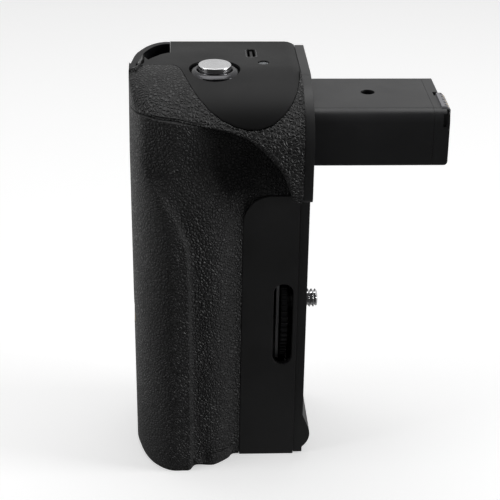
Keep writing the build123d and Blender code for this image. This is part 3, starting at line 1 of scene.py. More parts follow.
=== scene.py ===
# Looks of the camera battery grip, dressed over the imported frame.
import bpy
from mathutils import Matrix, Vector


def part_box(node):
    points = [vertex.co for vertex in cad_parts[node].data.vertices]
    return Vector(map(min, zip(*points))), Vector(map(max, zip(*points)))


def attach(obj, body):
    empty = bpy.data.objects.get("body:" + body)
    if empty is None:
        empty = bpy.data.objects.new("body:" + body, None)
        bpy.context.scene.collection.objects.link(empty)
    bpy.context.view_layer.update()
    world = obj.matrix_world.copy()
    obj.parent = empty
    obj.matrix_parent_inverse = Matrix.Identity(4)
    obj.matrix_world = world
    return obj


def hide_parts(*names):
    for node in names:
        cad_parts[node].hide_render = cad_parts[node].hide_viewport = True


bl_info = {
    "name": "Camera Battery Grip",
    "version": (1, 0, 0),
    "blender": (4, 5, 0),
    "location": "3D View > Sidebar > Battery Grip",
    "description": "Dresses the battery grip's frame with its finished pieces",
    "category": "Add Mesh",
}

import math
import bmesh
import bpy
import numpy as np
from contextlib import contextmanager
from bpy.props import FloatProperty, FloatVectorProperty, IntProperty, PointerProperty
from mathutils import Matrix, Vector

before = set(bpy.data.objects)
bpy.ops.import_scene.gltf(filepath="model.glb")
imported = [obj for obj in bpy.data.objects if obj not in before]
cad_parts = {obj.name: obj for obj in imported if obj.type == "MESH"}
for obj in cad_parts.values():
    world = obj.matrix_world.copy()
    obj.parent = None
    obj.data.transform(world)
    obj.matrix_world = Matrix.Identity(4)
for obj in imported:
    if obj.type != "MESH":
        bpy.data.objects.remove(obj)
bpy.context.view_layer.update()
MM = 0.001


def low(node, axis):
    """Lowest place of a frame node along an axis, in millimetres."""
    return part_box(node)[0][axis] / MM


def high(node, axis):
    """Highest place of a frame node along an axis, in millimetres."""
    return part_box(node)[1][axis] / MM


def span(node, axis, inset=0.0):
    """Both ends of a frame node along an axis, moved in by the inset."""
    return low(node, axis) + inset, high(node, axis) - inset


def middle(node, axis):
    """Middle of a frame node along an axis, in millimetres."""
    return (low(node, axis) + high(node, axis)) / 2


# Places taken from the frame, and places and sizes that go with them, in millimetres.
TOP_Z = high("top_cover", 2)
FOOT_Z = low("foot_frame", 2)
HEIGHT = TOP_Z - FOOT_Z
BACK_Y = high("rear_shell", 1)
LEFT_TOP_X = low("shoulder_cover", 0)
LEFT_FOOT_X = LEFT_TOP_X + 1.5
LEFT_STRAIGHT_Z = 57.0
CASE_RIGHT_X = high("shoulder_cover", 0)
PANEL_Y = low("front_panel", 1)
PANEL_TOP_Z = high("front_panel", 2)
SEAM_X = low("front_panel", 0)
LOBE_DEEP = 10.8
SHOULDER_Y = low("shoulder_cover", 1)
RIM_Z = high("foot_frame", 2)
BUTTON = (middle("shutter_cap", 0), middle("shutter_cap", 1))
LAMP = (middle("indicator_lens", 0), middle("indicator_lens", 1))
PORT = (middle("port_shell", 0), middle("port_shell", 1))
TRIPOD = (middle("tripod_insert", 1), middle("tripod_insert", 2))
SPLIT_Y = -1.0
START_Y = -8.0
NOSE_START_Y = -2.0
NOSE_LOW_Z = TOP_Z - 18.5
SHOULDER_CORNER_W = 13.5
PANEL_ROUND = 9.5
COVERING_END = 3.5
TOP_LEFT_X = -53.15

# Sizes of the finished pieces, in millimetres: walls and edges first.
COVERING_T = 1.0
SHOULDER_T = 0.9
TOP_T = 2.0
TOP_EDGE = 0.16
# The shoulder's rounding at its left end, and how much fuller and taller it gets to the right.
SHOULDER_ROUND_W = 0.6
SHOULDER_ROUND_H = 0.8
FULLER_SHARE = 0.4
FULLER_W = 1.5
FULLER_H = 2.7
NOSE_RISE = 15.0
NOSE_POWER = 1.4
# The rounding under the shoulder: where it starts to grow, over how much width, and its size.
UNDER_START = 20.0
UNDER_W = 26.0
UNDER_ROUND = 0.35
UNDER_MORE = 2.3
UNDER_POWER = 1.5
LEDGE_W = 8.0
LEDGE_RISE = 1.0
# Flat band of the shoulder on the palm side.
BAND_W = 1.4
BAND_TOP_Z = 75.2
BAND_Y = -7.4
# Fall of the top cover towards the seating plate, and where along the depth it fades.
DROP_W = 3.6
DROP_H = 1.1
DROP_POWER = 2.2
DROP_FADE_Y = -20.0
DROP_FADE_W = 16.0
# Holes in the covers, how far their cutters reach, and what stands in them. The port's
# outlines are width, length and corner radius.
CUTTER_DEEP = 8
CUTTER_HIGH = 2
COLLAR_HOLE_R = 8.12
LAMP_HOLE_R = 1.85
LAMP_R = 1.7
TRIPOD_HOLE_R = 4.62
PORT_HOLE = (3.6, 8.4, 1.0)
PORT_RIM = (3.5, 8.3, 0.95)
PORT_MOUTH = (2.9, 7.7, 0.75)
# Shutter button: radii of the cap, its stem, the collar, its bore and the hole in its floor.
CAP_R = 5.2
STEM_R = 1.5
COLLAR_R = 8.0
COLLAR_BORE_R = 5.5
COLLAR_FLOOR_R = 1.6
# Thumbwheel: radii of its bore, its hub and the step beside it, and the ridges' share of the rim.
WHEEL_BORE_R = 4.2
WHEEL_HUB_R = 14.0
WHEEL_STEP_R = 14.6
KNURL_SHARE = 0.58
# Camera screw: radii, then the places along it, from the seating face.
SCREW_R = 3.175
SCREW_NECK_R = 2.5
SCREW_BORE_R = 2.04
SCREW_BACK_R = 4.2
FLANGE_R = 5.2
FLANGE_BACK_X = -6.0
FLANGE_X = -3.35
THREAD_X = -0.3
SCREW_TIP = 0.65
# Arm's lower corner, and the contacts at its end.
ARM_CORNER_R = 1.7
CONTACT_W = 1.0
CONTACT_COUNT = 5
# Heads and shanks of the small screws, and the height of the casing screws' middle row.
CASE_HEAD_R = 1.9
PLATE_HEAD_R = 2.1
SHANK_R = 1.0
CASE_SCREW_MID_Z = 26.0
# Ribs of the power knob and the latch: how many, the latch's first one, and its step.
KNOB_RIBS = 6
LATCH_RIBS = 4
LATCH_RIB_Y = -14.15
LATCH_PITCH = 0.7
# Half of the floor's width.
FLOOR_HALF = 2000.0
# Faces of a CAD copy that turn less than this are joined, in degrees.
FLAT_DEGREES = 0.6

# Cells of the grids, before fineness doubles them. Covering: across to the seam, beyond
# it, and up its lower and upper part. Shoulder: round its corner, along it, and up it, with
# the ledge's rows as they are. Top cover: beside the lug, past it, and in its two depths.
COVERING_CELLS = (86, 22, 72, 42)
SHOULDER_CELLS = (28, 44, 34)
LEDGE_ROWS = 5
TOP_CELLS = (12, 50, 44, 14)
# Tries that bring a line's top to the crease, and its gap there in seams.
CREASE_TRIES = 12
CREASE_GAP = 1.6
# Points round the camera screw, and rows along its thread.
SCREW_STEPS = 72
THREAD_ROWS = 100

# Softboxes: name, place and aim in metres, width, length, and the power's property.
LIGHTS = (("top_softbox", (-0.05, 0.15, 0.75), (-0.02, 0.0, 0.02), 0.7, 0.5, "top_power"),
          ("left_softbox", (-0.78, -0.20, 0.34), (-0.03, 0.0, 0.02), 0.34, 0.6, "side_power"),
          ("right_softbox", (0.82, -0.15, 0.24), (-0.03, 0.0, 0.0), 0.30, 0.6, "right_power"))
# Camera of the photograph: place in metres, its way right and ahead, and the lens.
CAMERA_PLACE = (-0.04838, -0.50050, 0.25182)
CAMERA_RIGHT = (0.99845, -0.05294, 0.01740)
CAMERA_AHEAD = (0.05533, 0.90462, -0.42262)
SENSOR_WIDTH = 36.0
FOCAL_PIXELS = 1650.0
PHOTO_PIXELS = 500.0

# Places on the front curve: share of the way from the palm side to the panel's seam.
WAY_SHARES = (0.04, 0.125, 0.24, 0.355, 0.455, 0.515, 0.57, 0.635, 0.735, 0.83, 0.92)
# Depths at those places, as shares of the way out from the panel to the lobe. Each pair
# holds the palm lobe's curve and the curve of the flank past the ridge.
FOOT_FORM = ((-0.22, 0.46, 0.86, 1.0, 0.99, 0.95, 0.86, 0.74, 0.60, 0.40, 0.11),
             (-0.22, 0.46, 0.86, 1.0, 0.99, 0.95, 0.84, 0.72, 0.60, 0.40, 0.11))
TUCK_FORM = ((-0.26, 0.40, 0.82, 0.98, 0.98, 0.95, 0.88, 0.80, 0.62, 0.40, 0.18),
             (-0.26, 0.30, 0.60, 0.72, 0.74, 0.72, 0.69, 0.65, 0.62, 0.43, 0.12))
GRIP_FORM = ((-0.28, 0.37, 0.80, 0.98, 0.98, 0.95, 0.90, 0.83, 0.72, 0.56, 0.28),
             (-0.28, 0.30, 0.60, 0.74, 0.76, 0.75, 0.73, 0.70, 0.625, 0.435, 0.14))
NECK_FORM = ((-0.28, 0.36, 0.76, 0.86, 0.84, 0.80, 0.76, 0.68, 0.55, 0.36, 0.12),
             (-0.28, 0.27, 0.57, 0.67, 0.67, 0.67, 0.66, 0.63, 0.51, 0.32, 0.09))
SCOOP_FORM = ((-0.24, 0.38, 0.64, 0.68, 0.62, 0.56, 0.49, 0.40, 0.25, 0.08, -0.09),
              (-0.30, 0.22, 0.46, 0.61, 0.62, 0.56, 0.49, 0.40, 0.25, 0.08, -0.09))
CREASE_FORM = ((-0.26, 0.38, 0.68, 0.72, 0.68, 0.64, 0.59, 0.52, 0.40, 0.26, 0.12),
               (-0.28, 0.26, 0.50, 0.65, 0.68, 0.64, 0.59, 0.52, 0.40, 0.26, 0.12))
# Levels: share of the height, form, and the depth shares at the seam and at the plate.
LEVELS = ((0.0, FOOT_FORM, 0.0, 0.0), (0.012, FOOT_FORM, 0.0, 0.0), (0.038, TUCK_FORM, 0.0, 0.0),
          (0.085, GRIP_FORM, 0.0, 0.0), (0.48, GRIP_FORM, 0.0, 0.0), (0.62, GRIP_FORM, 0.0, 0.0),
          (0.712, NECK_FORM, -0.05, -0.10), (0.80, SCOOP_FORM, -0.21, -0.42),
          (0.885, CREASE_FORM, 0.02, -0.20), (0.985, CREASE_FORM, 0.02, -0.20))
# Crease under the shoulder, as shares of the casing's width and height.
CREASE_SHARES = ((0.0, 0.930), (0.09, 0.932), (0.16, 0.928), (0.23, 0.926), (0.30, 0.921),
                 (0.43, 0.911), (0.57, 0.896), (0.636, 0.884), (0.705, 0.861),
                 (0.775, 0.828), (0.833, 0.795), (0.876, 0.750), (0.893, 0.722))
# Ridge between the palm lobe and the flank: height, and place across.
RIDGE = ((-50.0, -37.8), (-32.5, -38.3), (-17.3, -38.5), (3.7, -38.8), (14.4, -39.0), (23.9, -39.3),
         (30.4, -39.7), (35.1, -40.7), (38.3, -42.0), (42.4, -43.6), (46.1, -45.7), (50.0, -48.6),
         (60.0, -54.0))
# The slope behind the ridge: how much wider it gets, from which height and over how much
# height, and how round its top is. Then the lip on the ridge: how high and wide it is, where
# it ends and over how much height it fades.
RIDGE_WIDER = 1.6
RIDGE_WIDER_Z = 38.0
RIDGE_WIDER_H = 18.0
RIDGE_ROUND = 0.28
LIP_H = 0.22
LIP_W = 0.6
LIP_END_Z = 44.0
LIP_FADE = 10.0
# Lower edge of the covering over the foot: place across, and height.
FOOT_SEAM = ((-58.0, -44.8), (-37.9, -44.8), (-37.2, -45.4), (-36.6, -46.6), (-35.8, -47.6), (-34.6, -48.1),
             (-33.0, -48.3), (-21.0, -48.4))
# Seam between the shoulder and the top cover, seen from above.
SEAM = ((-60.0, -7.35), (-55.3, -7.3), (-54.1, -3.4), (-53.3, -1.0), (-43.4, -1.0), (-42.4, -1.9),
        (-41.6, -3.4), (-40.9, -5.4), (-40.2, -8.0), (-39.4, -11.1), (-37.9, -15.4), (-35.6, -19.7),
        (-32.5, -23.2), (-28.7, -25.4), (-24.8, -26.5), (-20.9, -27.0), (-17.0, -27.0),
        (-13.0, -26.3), (-9.4, -24.4), (-6.9, -21.6), (-5.1, -17.6), (-4.1, -12.4), (-3.6, -8.0),
        (-3.2, -4.4), (-3.0, -1.0))
# Inner edge of the strap lug's opening, seen from above.
LUG_EDGE = ((-55.26, -7.3), (-54.12, -3.4), (-52.74, 0.8), (-51.48, 3.8), (-49.90, 6.2),
            (-47.32, 9.35), (-44.04, 11.6))
# Small raised fin in the lug's opening, seen from above.
FIN = ((-50.6, 2.9), (-51.86, -0.4), (-52.61, 2.0), (-52.55, 7.7), (-51.35, 4.7))


def distance(name, description, default, least=0.0):
    return FloatProperty(name=name, description=description, default=default, min=least,
                         unit="LENGTH", subtype="DISTANCE")


def colour(name, description, default):
    return FloatVectorProperty(name=name, description=description, default=default,
                               size=3, min=0.0, max=1.0, subtype="COLOR")


def power(name, description, default):
    return FloatProperty(name=name, description=description, default=default, min=0.0,
                         unit="POWER")


class GripSizes(bpy.types.PropertyGroup):
    """Sizes of the finished surfaces."""
    grain: distance("Grain", "Width of one pebble of the covering's grain", 0.00105, 0.0002)
    grain_depth: distance("Grain depth", "Depth of the creases between pebbles", 0.00042)
    seam: distance("Seam", "Half of the gap between two casing pieces", 0.00009)
    ridge: distance("Ridge", "Width of the slope behind the ridge beside the palm lobe", 0.0009,
                    0.0002)
    thread_pitch: distance("Thread pitch", "Pitch of the camera screw's thread", 0.00127, 0.0003)
    thread_depth: distance("Thread depth", "Depth of the camera screw's thread", 0.00062)
    knurl_count: IntProperty(name="Knurls", description="Ridges round the thumbwheel's rim",
                             default=60, min=12, max=160)
    knurl_depth: distance("Knurl depth", "Height of the thumbwheel's ridges", 0.00055)
    rib_pitch: distance("Rib pitch", "Distance between the ribs of a finger grip", 0.0009, 0.0003)


class GripColours(bpy.types.PropertyGroup):
    """Base colours of the finishes."""
    rubber: colour("Covering", "Soft grained covering", (0.016, 0.016, 0.0165))
    casing: colour("Casing", "Grained hard casing", (0.017, 0.017, 0.0175))
    satin: colour("Satin", "Smooth satin casing", (0.015, 0.015, 0.0155))
    arm: colour("Arm", "Battery arm", (0.014, 0.014, 0.015))
    gloss: colour("Gloss", "Glossy strap bar", (0.006, 0.006, 0.007))
    pale: colour("Pale", "Contact block", (0.22, 0.22, 0.235))
    metal: colour("Metal", "Button's cap", (0.72, 0.72, 0.73))
    gunmetal: colour("Dark metal", "Button's collar and thumbwheel", (0.065, 0.065, 0.068))
    screw: colour("Camera screw", "Warm bright steel", (0.58, 0.52, 0.46))
    steel: colour("Steel", "Port rim and pins", (0.50, 0.50, 0.51))
    brass: colour("Brass", "Tripod insert", (0.72, 0.52, 0.22))
    gold: colour("Gold", "Contacts", (0.83, 0.60, 0.25))
    board: colour("Board", "Circuit boards", (0.02, 0.14, 0.06))
    ribbon: colour("Ribbon", "Flat ribbons", (0.50, 0.25, 0.06))
    lamp: colour("Lamp", "Indicator lens", (0.045, 0.045, 0.05))


class GripStage(bpy.types.PropertyGroup):
    """Light and floor."""
    top_power: power("Top light", "Power of the soft light above", 2.6)
    side_power: power("Left light", "Power of the soft light at the left", 2.2)
    right_power: power("Right light", "Power of the soft light at the right", 5.0)
    ambient: FloatProperty(name="Ambient", description="Strength of the light from all round",
                           default=0.20, min=0.0, max=2.0)


def sizes():
    return bpy.context.scene.battery_grip_sizes


def colours():
    return bpy.context.scene.battery_grip_colours


# Materials

def add(tree, kind, settings=(), **values):
    """A shader node with its settings, and its sockets set or linked by name."""
    made = tree.nodes.new(kind)
    for key, value in dict(settings).items():
        setattr(made, key, value)
    for key, value in values.items():
        plug(tree, made, key.replace("_", " "), value)
    return made


def plug(tree, made, socket, value):
    """Set a socket, or link it when the value is another node's output."""
    if isinstance(value, bpy.types.NodeSocket):
        tree.links.new(value, made.inputs[socket])
    else:
        made.inputs[socket].default_value = value


def sum_of(tree, operation, first, second):
    made = add(tree, "ShaderNodeMath", {"operation": operation})
    plug(tree, made, 0, first)
    plug(tree, made, 1, second)
    return made.outputs[0]


def vector_sum(tree, operation, first, second=None):
    made = add(tree, "ShaderNodeVectorMath", {"operation": operation})
    plug(tree, made, 0, first)
    if second is not None:
        plug(tree, made, 1, second)
    return made


def remap(tree, value, from_low, from_high, to_low, to_high):
    made = add(tree, "ShaderNodeMapRange", Value=value, From_Min=from_low, From_Max=from_high,
               To_Min=to_low, To_Max=to_high)
    return made.outputs["Result"]


def blend_colours(tree, share, first, second):
    made = add(tree, "ShaderNodeMixRGB")
    plug(tree, made, "Fac", share)
    for socket, value in (("Color1", first), ("Color2", second)):
        plug(tree, made, socket, value if isinstance(value, bpy.types.NodeSocket) else (*value, 1.0))
    return made.outputs["Color"]


def emptied(owner):
    """Node tree of a material or world, with nothing in it."""
    owner.use_nodes = True
    owner.node_tree.nodes.clear()
    return owner.node_tree


def places(tree):
    return add(tree, "ShaderNodeTexCoord").outputs["Object"]


def shade(value, factor):
    return tuple(min(1.0, c * factor) for c in value)


class Surface:
    """A material with its shader, and short ways to the patterns on it."""

    def __init__(self, name, **values):
        self.material = bpy.data.materials.new(name)
        self.tree = emptied(self.material)
        self.shader = add(self.tree, "ShaderNodeBsdfPrincipled", **values)
        add(self.tree, "ShaderNodeOutputMaterial", Surface=self.shader.outputs["BSDF"])
        self.spot = places(self.tree)

    def pattern(self, kind, settings=(), **values):
        """A texture over the object's own places, or over others if they are given."""
        return add(self.tree, kind, settings, **{"Vector": self.spot, **values})

    def noise(self, scale, detail=2.0, roughness=0.5):
        return self.pattern("ShaderNodeTexNoise", Scale=scale, Detail=detail,
                            Roughness=roughness).outputs["Fac"]

    def swing(self, value, low, high, start=0.3, end=0.7):
        """Goes from low to high while the value goes from start to end."""
        return remap(self.tree, value, start, end, low, high)

    def total(self, first, second):
        return sum_of(self.tree, "ADD", first, second)

    def tones(self, share, base, first, second):
        """From one shade of the base colour to another."""
        return blend_colours(self.tree, share, shade(base, first), shade(base, second))

    def finish(self, colour, rough, height, depth):
        """Set colour and roughness, and the relief of that depth in metres."""
        plug(self.tree, self.shader, "Base Color", colour)
        plug(self.tree, self.shader, "Roughness", rough)
        bump = add(self.tree, "ShaderNodeBump", Height=height, Distance=depth)
        plug(self.tree, self.shader, "Normal", bump.outputs["Normal"])
        return self.material


def grained(name, base, cell, depth, dull, shine):
    """Leather-like moulded grain: pebbles with creases darkened by painted shade, and a worn sheen on their
    tops.
    """
    made = Surface(name, Specular_IOR_Level=0.5)
    tree = made.tree
    wander = made.pattern("ShaderNodeTexNoise", Scale=0.35 / cell, Detail=1.0)
    shifted = add(tree, "ShaderNodeMixRGB", {"blend_type": "ADD"}, Fac=0.6 * cell,
                  Color1=made.spot, Color2=wander.outputs["Color"]).outputs["Color"]
    cells, tone = (made.pattern("ShaderNodeTexVoronoi", {"feature": feature}, Vector=shifted,
                                Scale=1.0 / cell) for feature in ("DISTANCE_TO_EDGE", "F1"))
    crease = add(tree, "ShaderNodeMapRange", {"interpolation_type": "SMOOTHSTEP"},
                 Value=cells.outputs["Distance"], From_Min=0.0, From_Max=0.32).outputs["Result"]
    grey = add(tree, "ShaderNodeSeparateColor", Color=tone.outputs["Color"]).outputs["Red"]
    tall = sum_of(tree, "MULTIPLY", crease, made.swing(grey, 0.55, 1.0, 0.0, 1.0))
    fine = made.noise(5.0 / cell, 3.0, 0.6)
    broad = made.noise(60.0)
    worn = made.tones(made.swing(broad, 0.0, 1.0, 0.35), base, 0.9, 1.25)
    sheen = made.total(tall, made.swing(broad, -0.2, 0.2))
    # Painted shade: the creases between pebbles are darkened to 0.45 of the base colour.
    return made.finish(blend_colours(tree, crease, shade(base, 0.45), worn),
                       made.swing(sheen, dull, shine, 0.0, 1.0),
                       made.total(tall, made.swing(fine, 0.0, 0.18, 0.0, 1.0)), depth)


def satin(name, base, rough, grain=0.00035, depth=0.000012, level=0.42):
    """Fine spark-textured moulding with faint handling marks, and painted glints as lighter specks on the
    texture's peaks.
    """
    made = Surface(name, Specular_IOR_Level=level)
    spark = made.noise(1.0 / grain, 3.0, 0.65)
    broad = made.noise(45.0, 3.0)
    tone = made.tones(made.swing(broad, 0.0, 1.0), base, 0.88, 1.14)
    # Painted glints: the colour turns 1.8 times lighter in specks where the spark texture peaks.
    painted_glint = made.swing(spark, 0.0, 0.35, 0.62, 0.75)
    smear = made.total(made.swing(broad, rough - 0.06, rough + 0.06),
                       made.swing(spark, -0.04, 0.04))
    return made.finish(blend_colours(made.tree, painted_glint, tone, shade(base, 1.8)), smear, spark, depth)


def brushed(name, base, rough, centre=None, across=(1.0, 1.0, 1.0), ring=0.00012):
    """Turned or brushed metal: fine lines round a centre, or along the axis with no weight."""
    made = Surface(name, Metallic=1.0, Anisotropic=0.4)
    if centre is not None:
        moved = vector_sum(made.tree, "SUBTRACT", made.spot, centre).outputs[0]
        flat = vector_sum(made.tree, "MULTIPLY", moved, across).outputs[0]
        radius = vector_sum(made.tree, "LENGTH", flat).outputs["Value"]
        lines = add(made.tree, "ShaderNodeTexNoise", {"noise_dimensions": "1D"},
                    Scale=1.0 / ring, Detail=3.0, W=radius).outputs["Fac"]
    else:
        stretched = made.pattern("ShaderNodeMapping", Scale=across).outputs["Vector"]
        lines = made.pattern("ShaderNodeTexNoise", Vector=stretched, Scale=1.0 / ring,
                             Detail=3.0).outputs["Fac"]
    smear = made.total(made.swing(lines, rough - 0.07, rough + 0.07),
                       made.swing(made.noise(220.0), -0.04, 0.04))
    return made.finish(made.tones(made.swing(lines, 0.0, 1.0), base, 0.86, 1.08), smear, lines,
                       0.000006)


def glossy(name, base):
    """Polished black moulding with a faint orange peel and a little dust."""
    made = Surface(name, Specular_IOR_Level=0.06)
    peel = made.noise(900.0, 1.0)
    dust = made.swing(made.noise(5200.0), 0.0, 0.5, 0.68, 0.80)
    return made.finish(made.tones(dust, base, 1.0, 6.0), made.swing(peel, 0.10, 0.18), peel,
                       0.000006)


def contact_gold(name, base):
    """Gold plating with rub marks."""
    made = Surface(name, Metallic=1.0)
    rub = made.noise(2600.0, 3.0)
    return made.finish(made.tones(made.swing(rub, 0.0, 1.0, 0.35, 0.65), base, 0.82, 1.1),
                       made.swing(rub, 0.16, 0.34), rub, 0.000005)


def board(name, base):
    """Green board: tracks as a blocky pattern under the lacquer, with bright pads."""
    made = Surface(name)
    cells = made.pattern("ShaderNodeTexVoronoi", {"feature": "F1", "distance": "MANHATTAN"},
                         Scale=420.0)
    lines = made.pattern("ShaderNodeTexBrick", {"offset": 0.5}, Scale=260.0, Mortar_Size=0.03,
                         Color1=(1.0, 1.0, 1.0, 1.0), Color2=(0.9, 0.9, 0.9, 1.0),
                         Mortar=(0.0, 0.0, 0.0, 1.0))
    copper = made.tones(lines.outputs["Color"], base, 1.7, 1.0)
    pads = made.swing(cells.outputs["Distance"], 1.0, 0.0, 0.10, 0.12)
    return made.finish(blend_colours(made.tree, pads, copper, (0.55, 0.52, 0.42)), 0.35,
                       lines.outputs["Fac"], 0.00003)


def film(name, base):
    """Flat ribbon: thin film over parallel copper tracks."""
    made = Surface(name)
    tracks = made.pattern("ShaderNodeTexWave", {"bands_direction": "Y"}, Scale=420.0,
                          Distortion=0.0).outputs["Fac"]
    return made.finish(made.tones(tracks, base, 0.6, 1.0),
                       made.swing(made.noise(800.0), 0.3, 0.45), tracks, 0.00002)


def frosted(name, base):
    """Cloudy lens of the indicator lamp."""
    made = Surface(name, Transmission_Weight=0.5, Coat_Weight=0.3)
    cloud = made.noise(1500.0, 3.0)
    return made.finish(made.tones(cloud, base, 0.8, 1.0), made.swing(cloud, 0.22, 0.4), cloud,
                       0.00001)


# Points that turned metal is brushed round, and the weights of the axes across the turning.
BUTTON_CENTRE = (BUTTON[0] * MM, BUTTON[1] * MM, 0.0)
TRIPOD_CENTRE = (0.0, TRIPOD[0] * MM, TRIPOD[1] * MM)
SCREW_CENTRE = (0.0, 0.0, 0.0)
ROUND_Z = (1.0, 1.0, 0.0)
ROUND_X = (0.0, 1.0, 1.0)

# What makes each finish, from its name, the colours and the sizes.
MAKERS = {
    "covering": lambda n, c, s: grained(n, c.rubber, s.grain, s.grain_depth, 0.72, 0.40),
    "casing": lambda n, c, s: grained(n, c.casing, s.grain * 0.9, s.grain_depth * 0.8, 0.70, 0.42),
    "shoulder": lambda n, c, s: grained(n, c.casing, s.grain * 1.1, s.grain_depth * 1.3, 0.62, 0.34),
    "satin": lambda n, c, s: satin(n, c.satin, 0.50),
    "cover": lambda n, c, s: satin(n, shade(c.satin, 0.42), 0.50, level=0.20),
    "plate": lambda n, c, s: satin(n, c.satin, 0.42, 0.00025, 0.000008),
    "arm": lambda n, c, s: satin(n, c.arm, 0.40, 0.0003, 0.000007, 0.42),
    "inner": lambda n, c, s: satin(n, c.satin, 0.62),
    "gloss": lambda n, c, s: glossy(n, c.gloss),
    "pale": lambda n, c, s: satin(n, c.pale, 0.38, 0.0003, 0.000006, 0.5),
    "button_metal": lambda n, c, s: brushed(n, c.metal, 0.26, BUTTON_CENTRE, ROUND_Z),
    "collar_metal": lambda n, c, s: brushed(n, c.gunmetal, 0.20, BUTTON_CENTRE, ROUND_Z),
    "wheel_metal": lambda n, c, s: brushed(n, c.gunmetal, 0.34, SCREW_CENTRE, ROUND_X),
    "bright_steel": lambda n, c, s: brushed(n, c.screw, 0.26, SCREW_CENTRE, ROUND_X),
    "steel": lambda n, c, s: brushed(n, c.steel, 0.32, across=(0.15, 1.0, 1.0)),
    "black_screw": lambda n, c, s: brushed(n, shade(c.steel, 0.12), 0.42, ring=0.0003),
    "brass": lambda n, c, s: brushed(n, c.brass, 0.30, TRIPOD_CENTRE, ROUND_X),
    "gold": lambda n, c, s: contact_gold(n, c.gold),
    "board": lambda n, c, s: board(n, c.board),
    "ribbon": lambda n, c, s: film(n, c.ribbon),
    "lamp": lambda n, c, s: frosted(n, c.lamp),
}


def finish_of(name):
    """The material of that name, made when it is first asked for."""
    return bpy.data.materials.get(name) or MAKERS[name](name, colours(), sizes())


def paint(obj, name):
    obj.data.materials.clear()
    obj.data.materials.append(finish_of(name))


def paint_node(node, name):
    """A CAD node that stays gets its finish."""
    paint(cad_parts[node], name)


# Meshes

def new_object(name, data):
    obj = bpy.data.objects.new(name, data)
    bpy.context.scene.collection.objects.link(obj)
    return obj


def mesh_of(name, points, faces):
    """An object from points in millimetres and faces."""
    mesh = bpy.data.meshes.new(name)
    scaled = [tuple(float(c) * MM for c in p) for p in points]
    mesh.from_pydata(scaled, [], [tuple(f) for f in faces])
    mesh.validate()
    return new_object(name, mesh)


def settle(obj):
    """Turn the live modifiers into a plain mesh."""
    seen = bpy.context.evaluated_depsgraph_get()
    mesh = bpy.data.meshes.new_from_object(obj.evaluated_get(seen))
    obj.modifiers.clear()
    before = obj.data
    obj.data = mesh
    bpy.data.meshes.remove(before)
    return obj


def smooth(obj, degrees=32.0):
    obj.data.polygons.foreach_set("use_smooth", [True] * len(obj.data.polygons))
    obj.data.set_sharp_from_angle(angle=math.radians(degrees))
    obj.data.update()


def level_normals(obj):
    """Let the large faces lead the normals, so that flat faces shade flat."""
    made = obj.modifiers.new("normals", "WEIGHTED_NORMAL")
    made.keep_sharp = True
    made.weight = 50
    return settle(obj)


def bevel(obj, width, segments=2, degrees=30.0):
    """Round the edges that turn more than the angle."""
    made = obj.modifiers.new("edge", "BEVEL")
    made.width = width
    made.segments = segments
    made.limit_method = "ANGLE"
    made.angle_limit = math.radians(degrees)
    made.use_clamp_overlap = True
    made.miter_outer = "MITER_ARC"
    return settle(obj)


def thicken(obj, thickness):
    """Give a sheet its wall, inwards from its face."""
    made = obj.modifiers.new("wall", "SOLIDIFY")
    made.thickness = thickness
    made.offset = -1.0
    made.use_even_offset = False
    return settle(obj)


def cut(obj, *tools):
    """Take the tools' shapes out of a closed mesh, and delete the tools."""
    for tool in tools:
        made = obj.modifiers.new("cut", "BOOLEAN")
        made.operation = "DIFFERENCE"
        made.solver = "EXACT"
        made.object = tool
    settle(obj)
    for tool in tools:
        bpy.data.objects.remove(tool)
    return obj


@contextmanager
def edited(obj):
    """The object's mesh, open for edits and written back."""
    bm = bmesh.new()
    bm.from_mesh(obj.data)
    yield bm
    bm.to_mesh(obj.data)
    bm.free()


def tidy_mesh(obj):
    """Merge a mesh's doubles and join its flat faces."""
    with edited(obj) as bm:
        bmesh.ops.remove_doubles(bm, verts=bm.verts, dist=0.004 * MM)
        bmesh.ops.dissolve_degenerate(bm, edges=bm.edges, dist=0.002 * MM)
        bmesh.ops.dissolve_limit(bm, angle_limit=math.radians(FLAT_DEGREES), verts=bm.verts,
                                 edges=bm.edges, delimit={"NORMAL"})


def copy_of(node):
    """A merged copy of a CAD node's mesh, to soften and dress."""
    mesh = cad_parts[node].data.copy()
    mesh.name = node + "_dressed"
    for layer in list(mesh.uv_layers):
        mesh.uv_layers.remove(layer)
    obj = new_object(mesh.name, mesh)
    if mesh.has_custom_normals:
        mesh.attributes.remove(mesh.attributes["custom_normal"])
    tidy_mesh(obj)
    return obj


def fit_out(obj, finish, body, slot, *nodes):
    """Paint a finished piece, and hang it on its body in place of its nodes."""
    paint(obj, finish)
    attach(obj, body)
    if nodes:
        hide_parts(*nodes)
    return obj


def soften(node, finish, body, slot, width, segments=2):
    """A copy of a CAD node with its edges rounded, in place of the node."""
    obj = copy_of(node)
    bevel(obj, width * MM, segments)
    smooth(obj)
    level_normals(obj)
    fit_out(obj, finish, body, slot, node)


def join(name, *objects):
    """One object from several, all at the origin."""
    bm = bmesh.new()
    for obj in objects:
        bm.from_mesh(obj.data)
    mesh = bpy.data.meshes.new(name)
    bm.to_mesh(mesh)
    bm.free()
    for obj in objects:
        bpy.data.objects.remove(obj)
    return new_object(name, mesh)


def face_out(obj):
    """Recalculate a closed mesh's normals so that they point outwards."""
    with edited(obj) as bm:
        bmesh.ops.recalc_face_normals(bm, faces=bm.faces)


def fineness():
    """How many times finer the grids are: always twice."""
    return 2


def grid_faces(rows, columns, first=0, closed=False):
    """Faces of a grid of points that are numbered row by row."""
    faces = []
    for i in range(rows - 1):
        for j in range(columns if closed else columns - 1):
            k = (j + 1) % columns
            faces.append((first + i * columns + j, first + i * columns + k,
                          first + (i + 1) * columns + k, first + (i + 1) * columns + j))
    return faces


def strip(column, rows, first, last):
    """Faces between a column of points and the next, from one row to another."""
    one, two = column * rows, (column + 1) * rows
    return [(one + i, two + i, two + i + 1, one + i + 1) for i in range(first, last)]


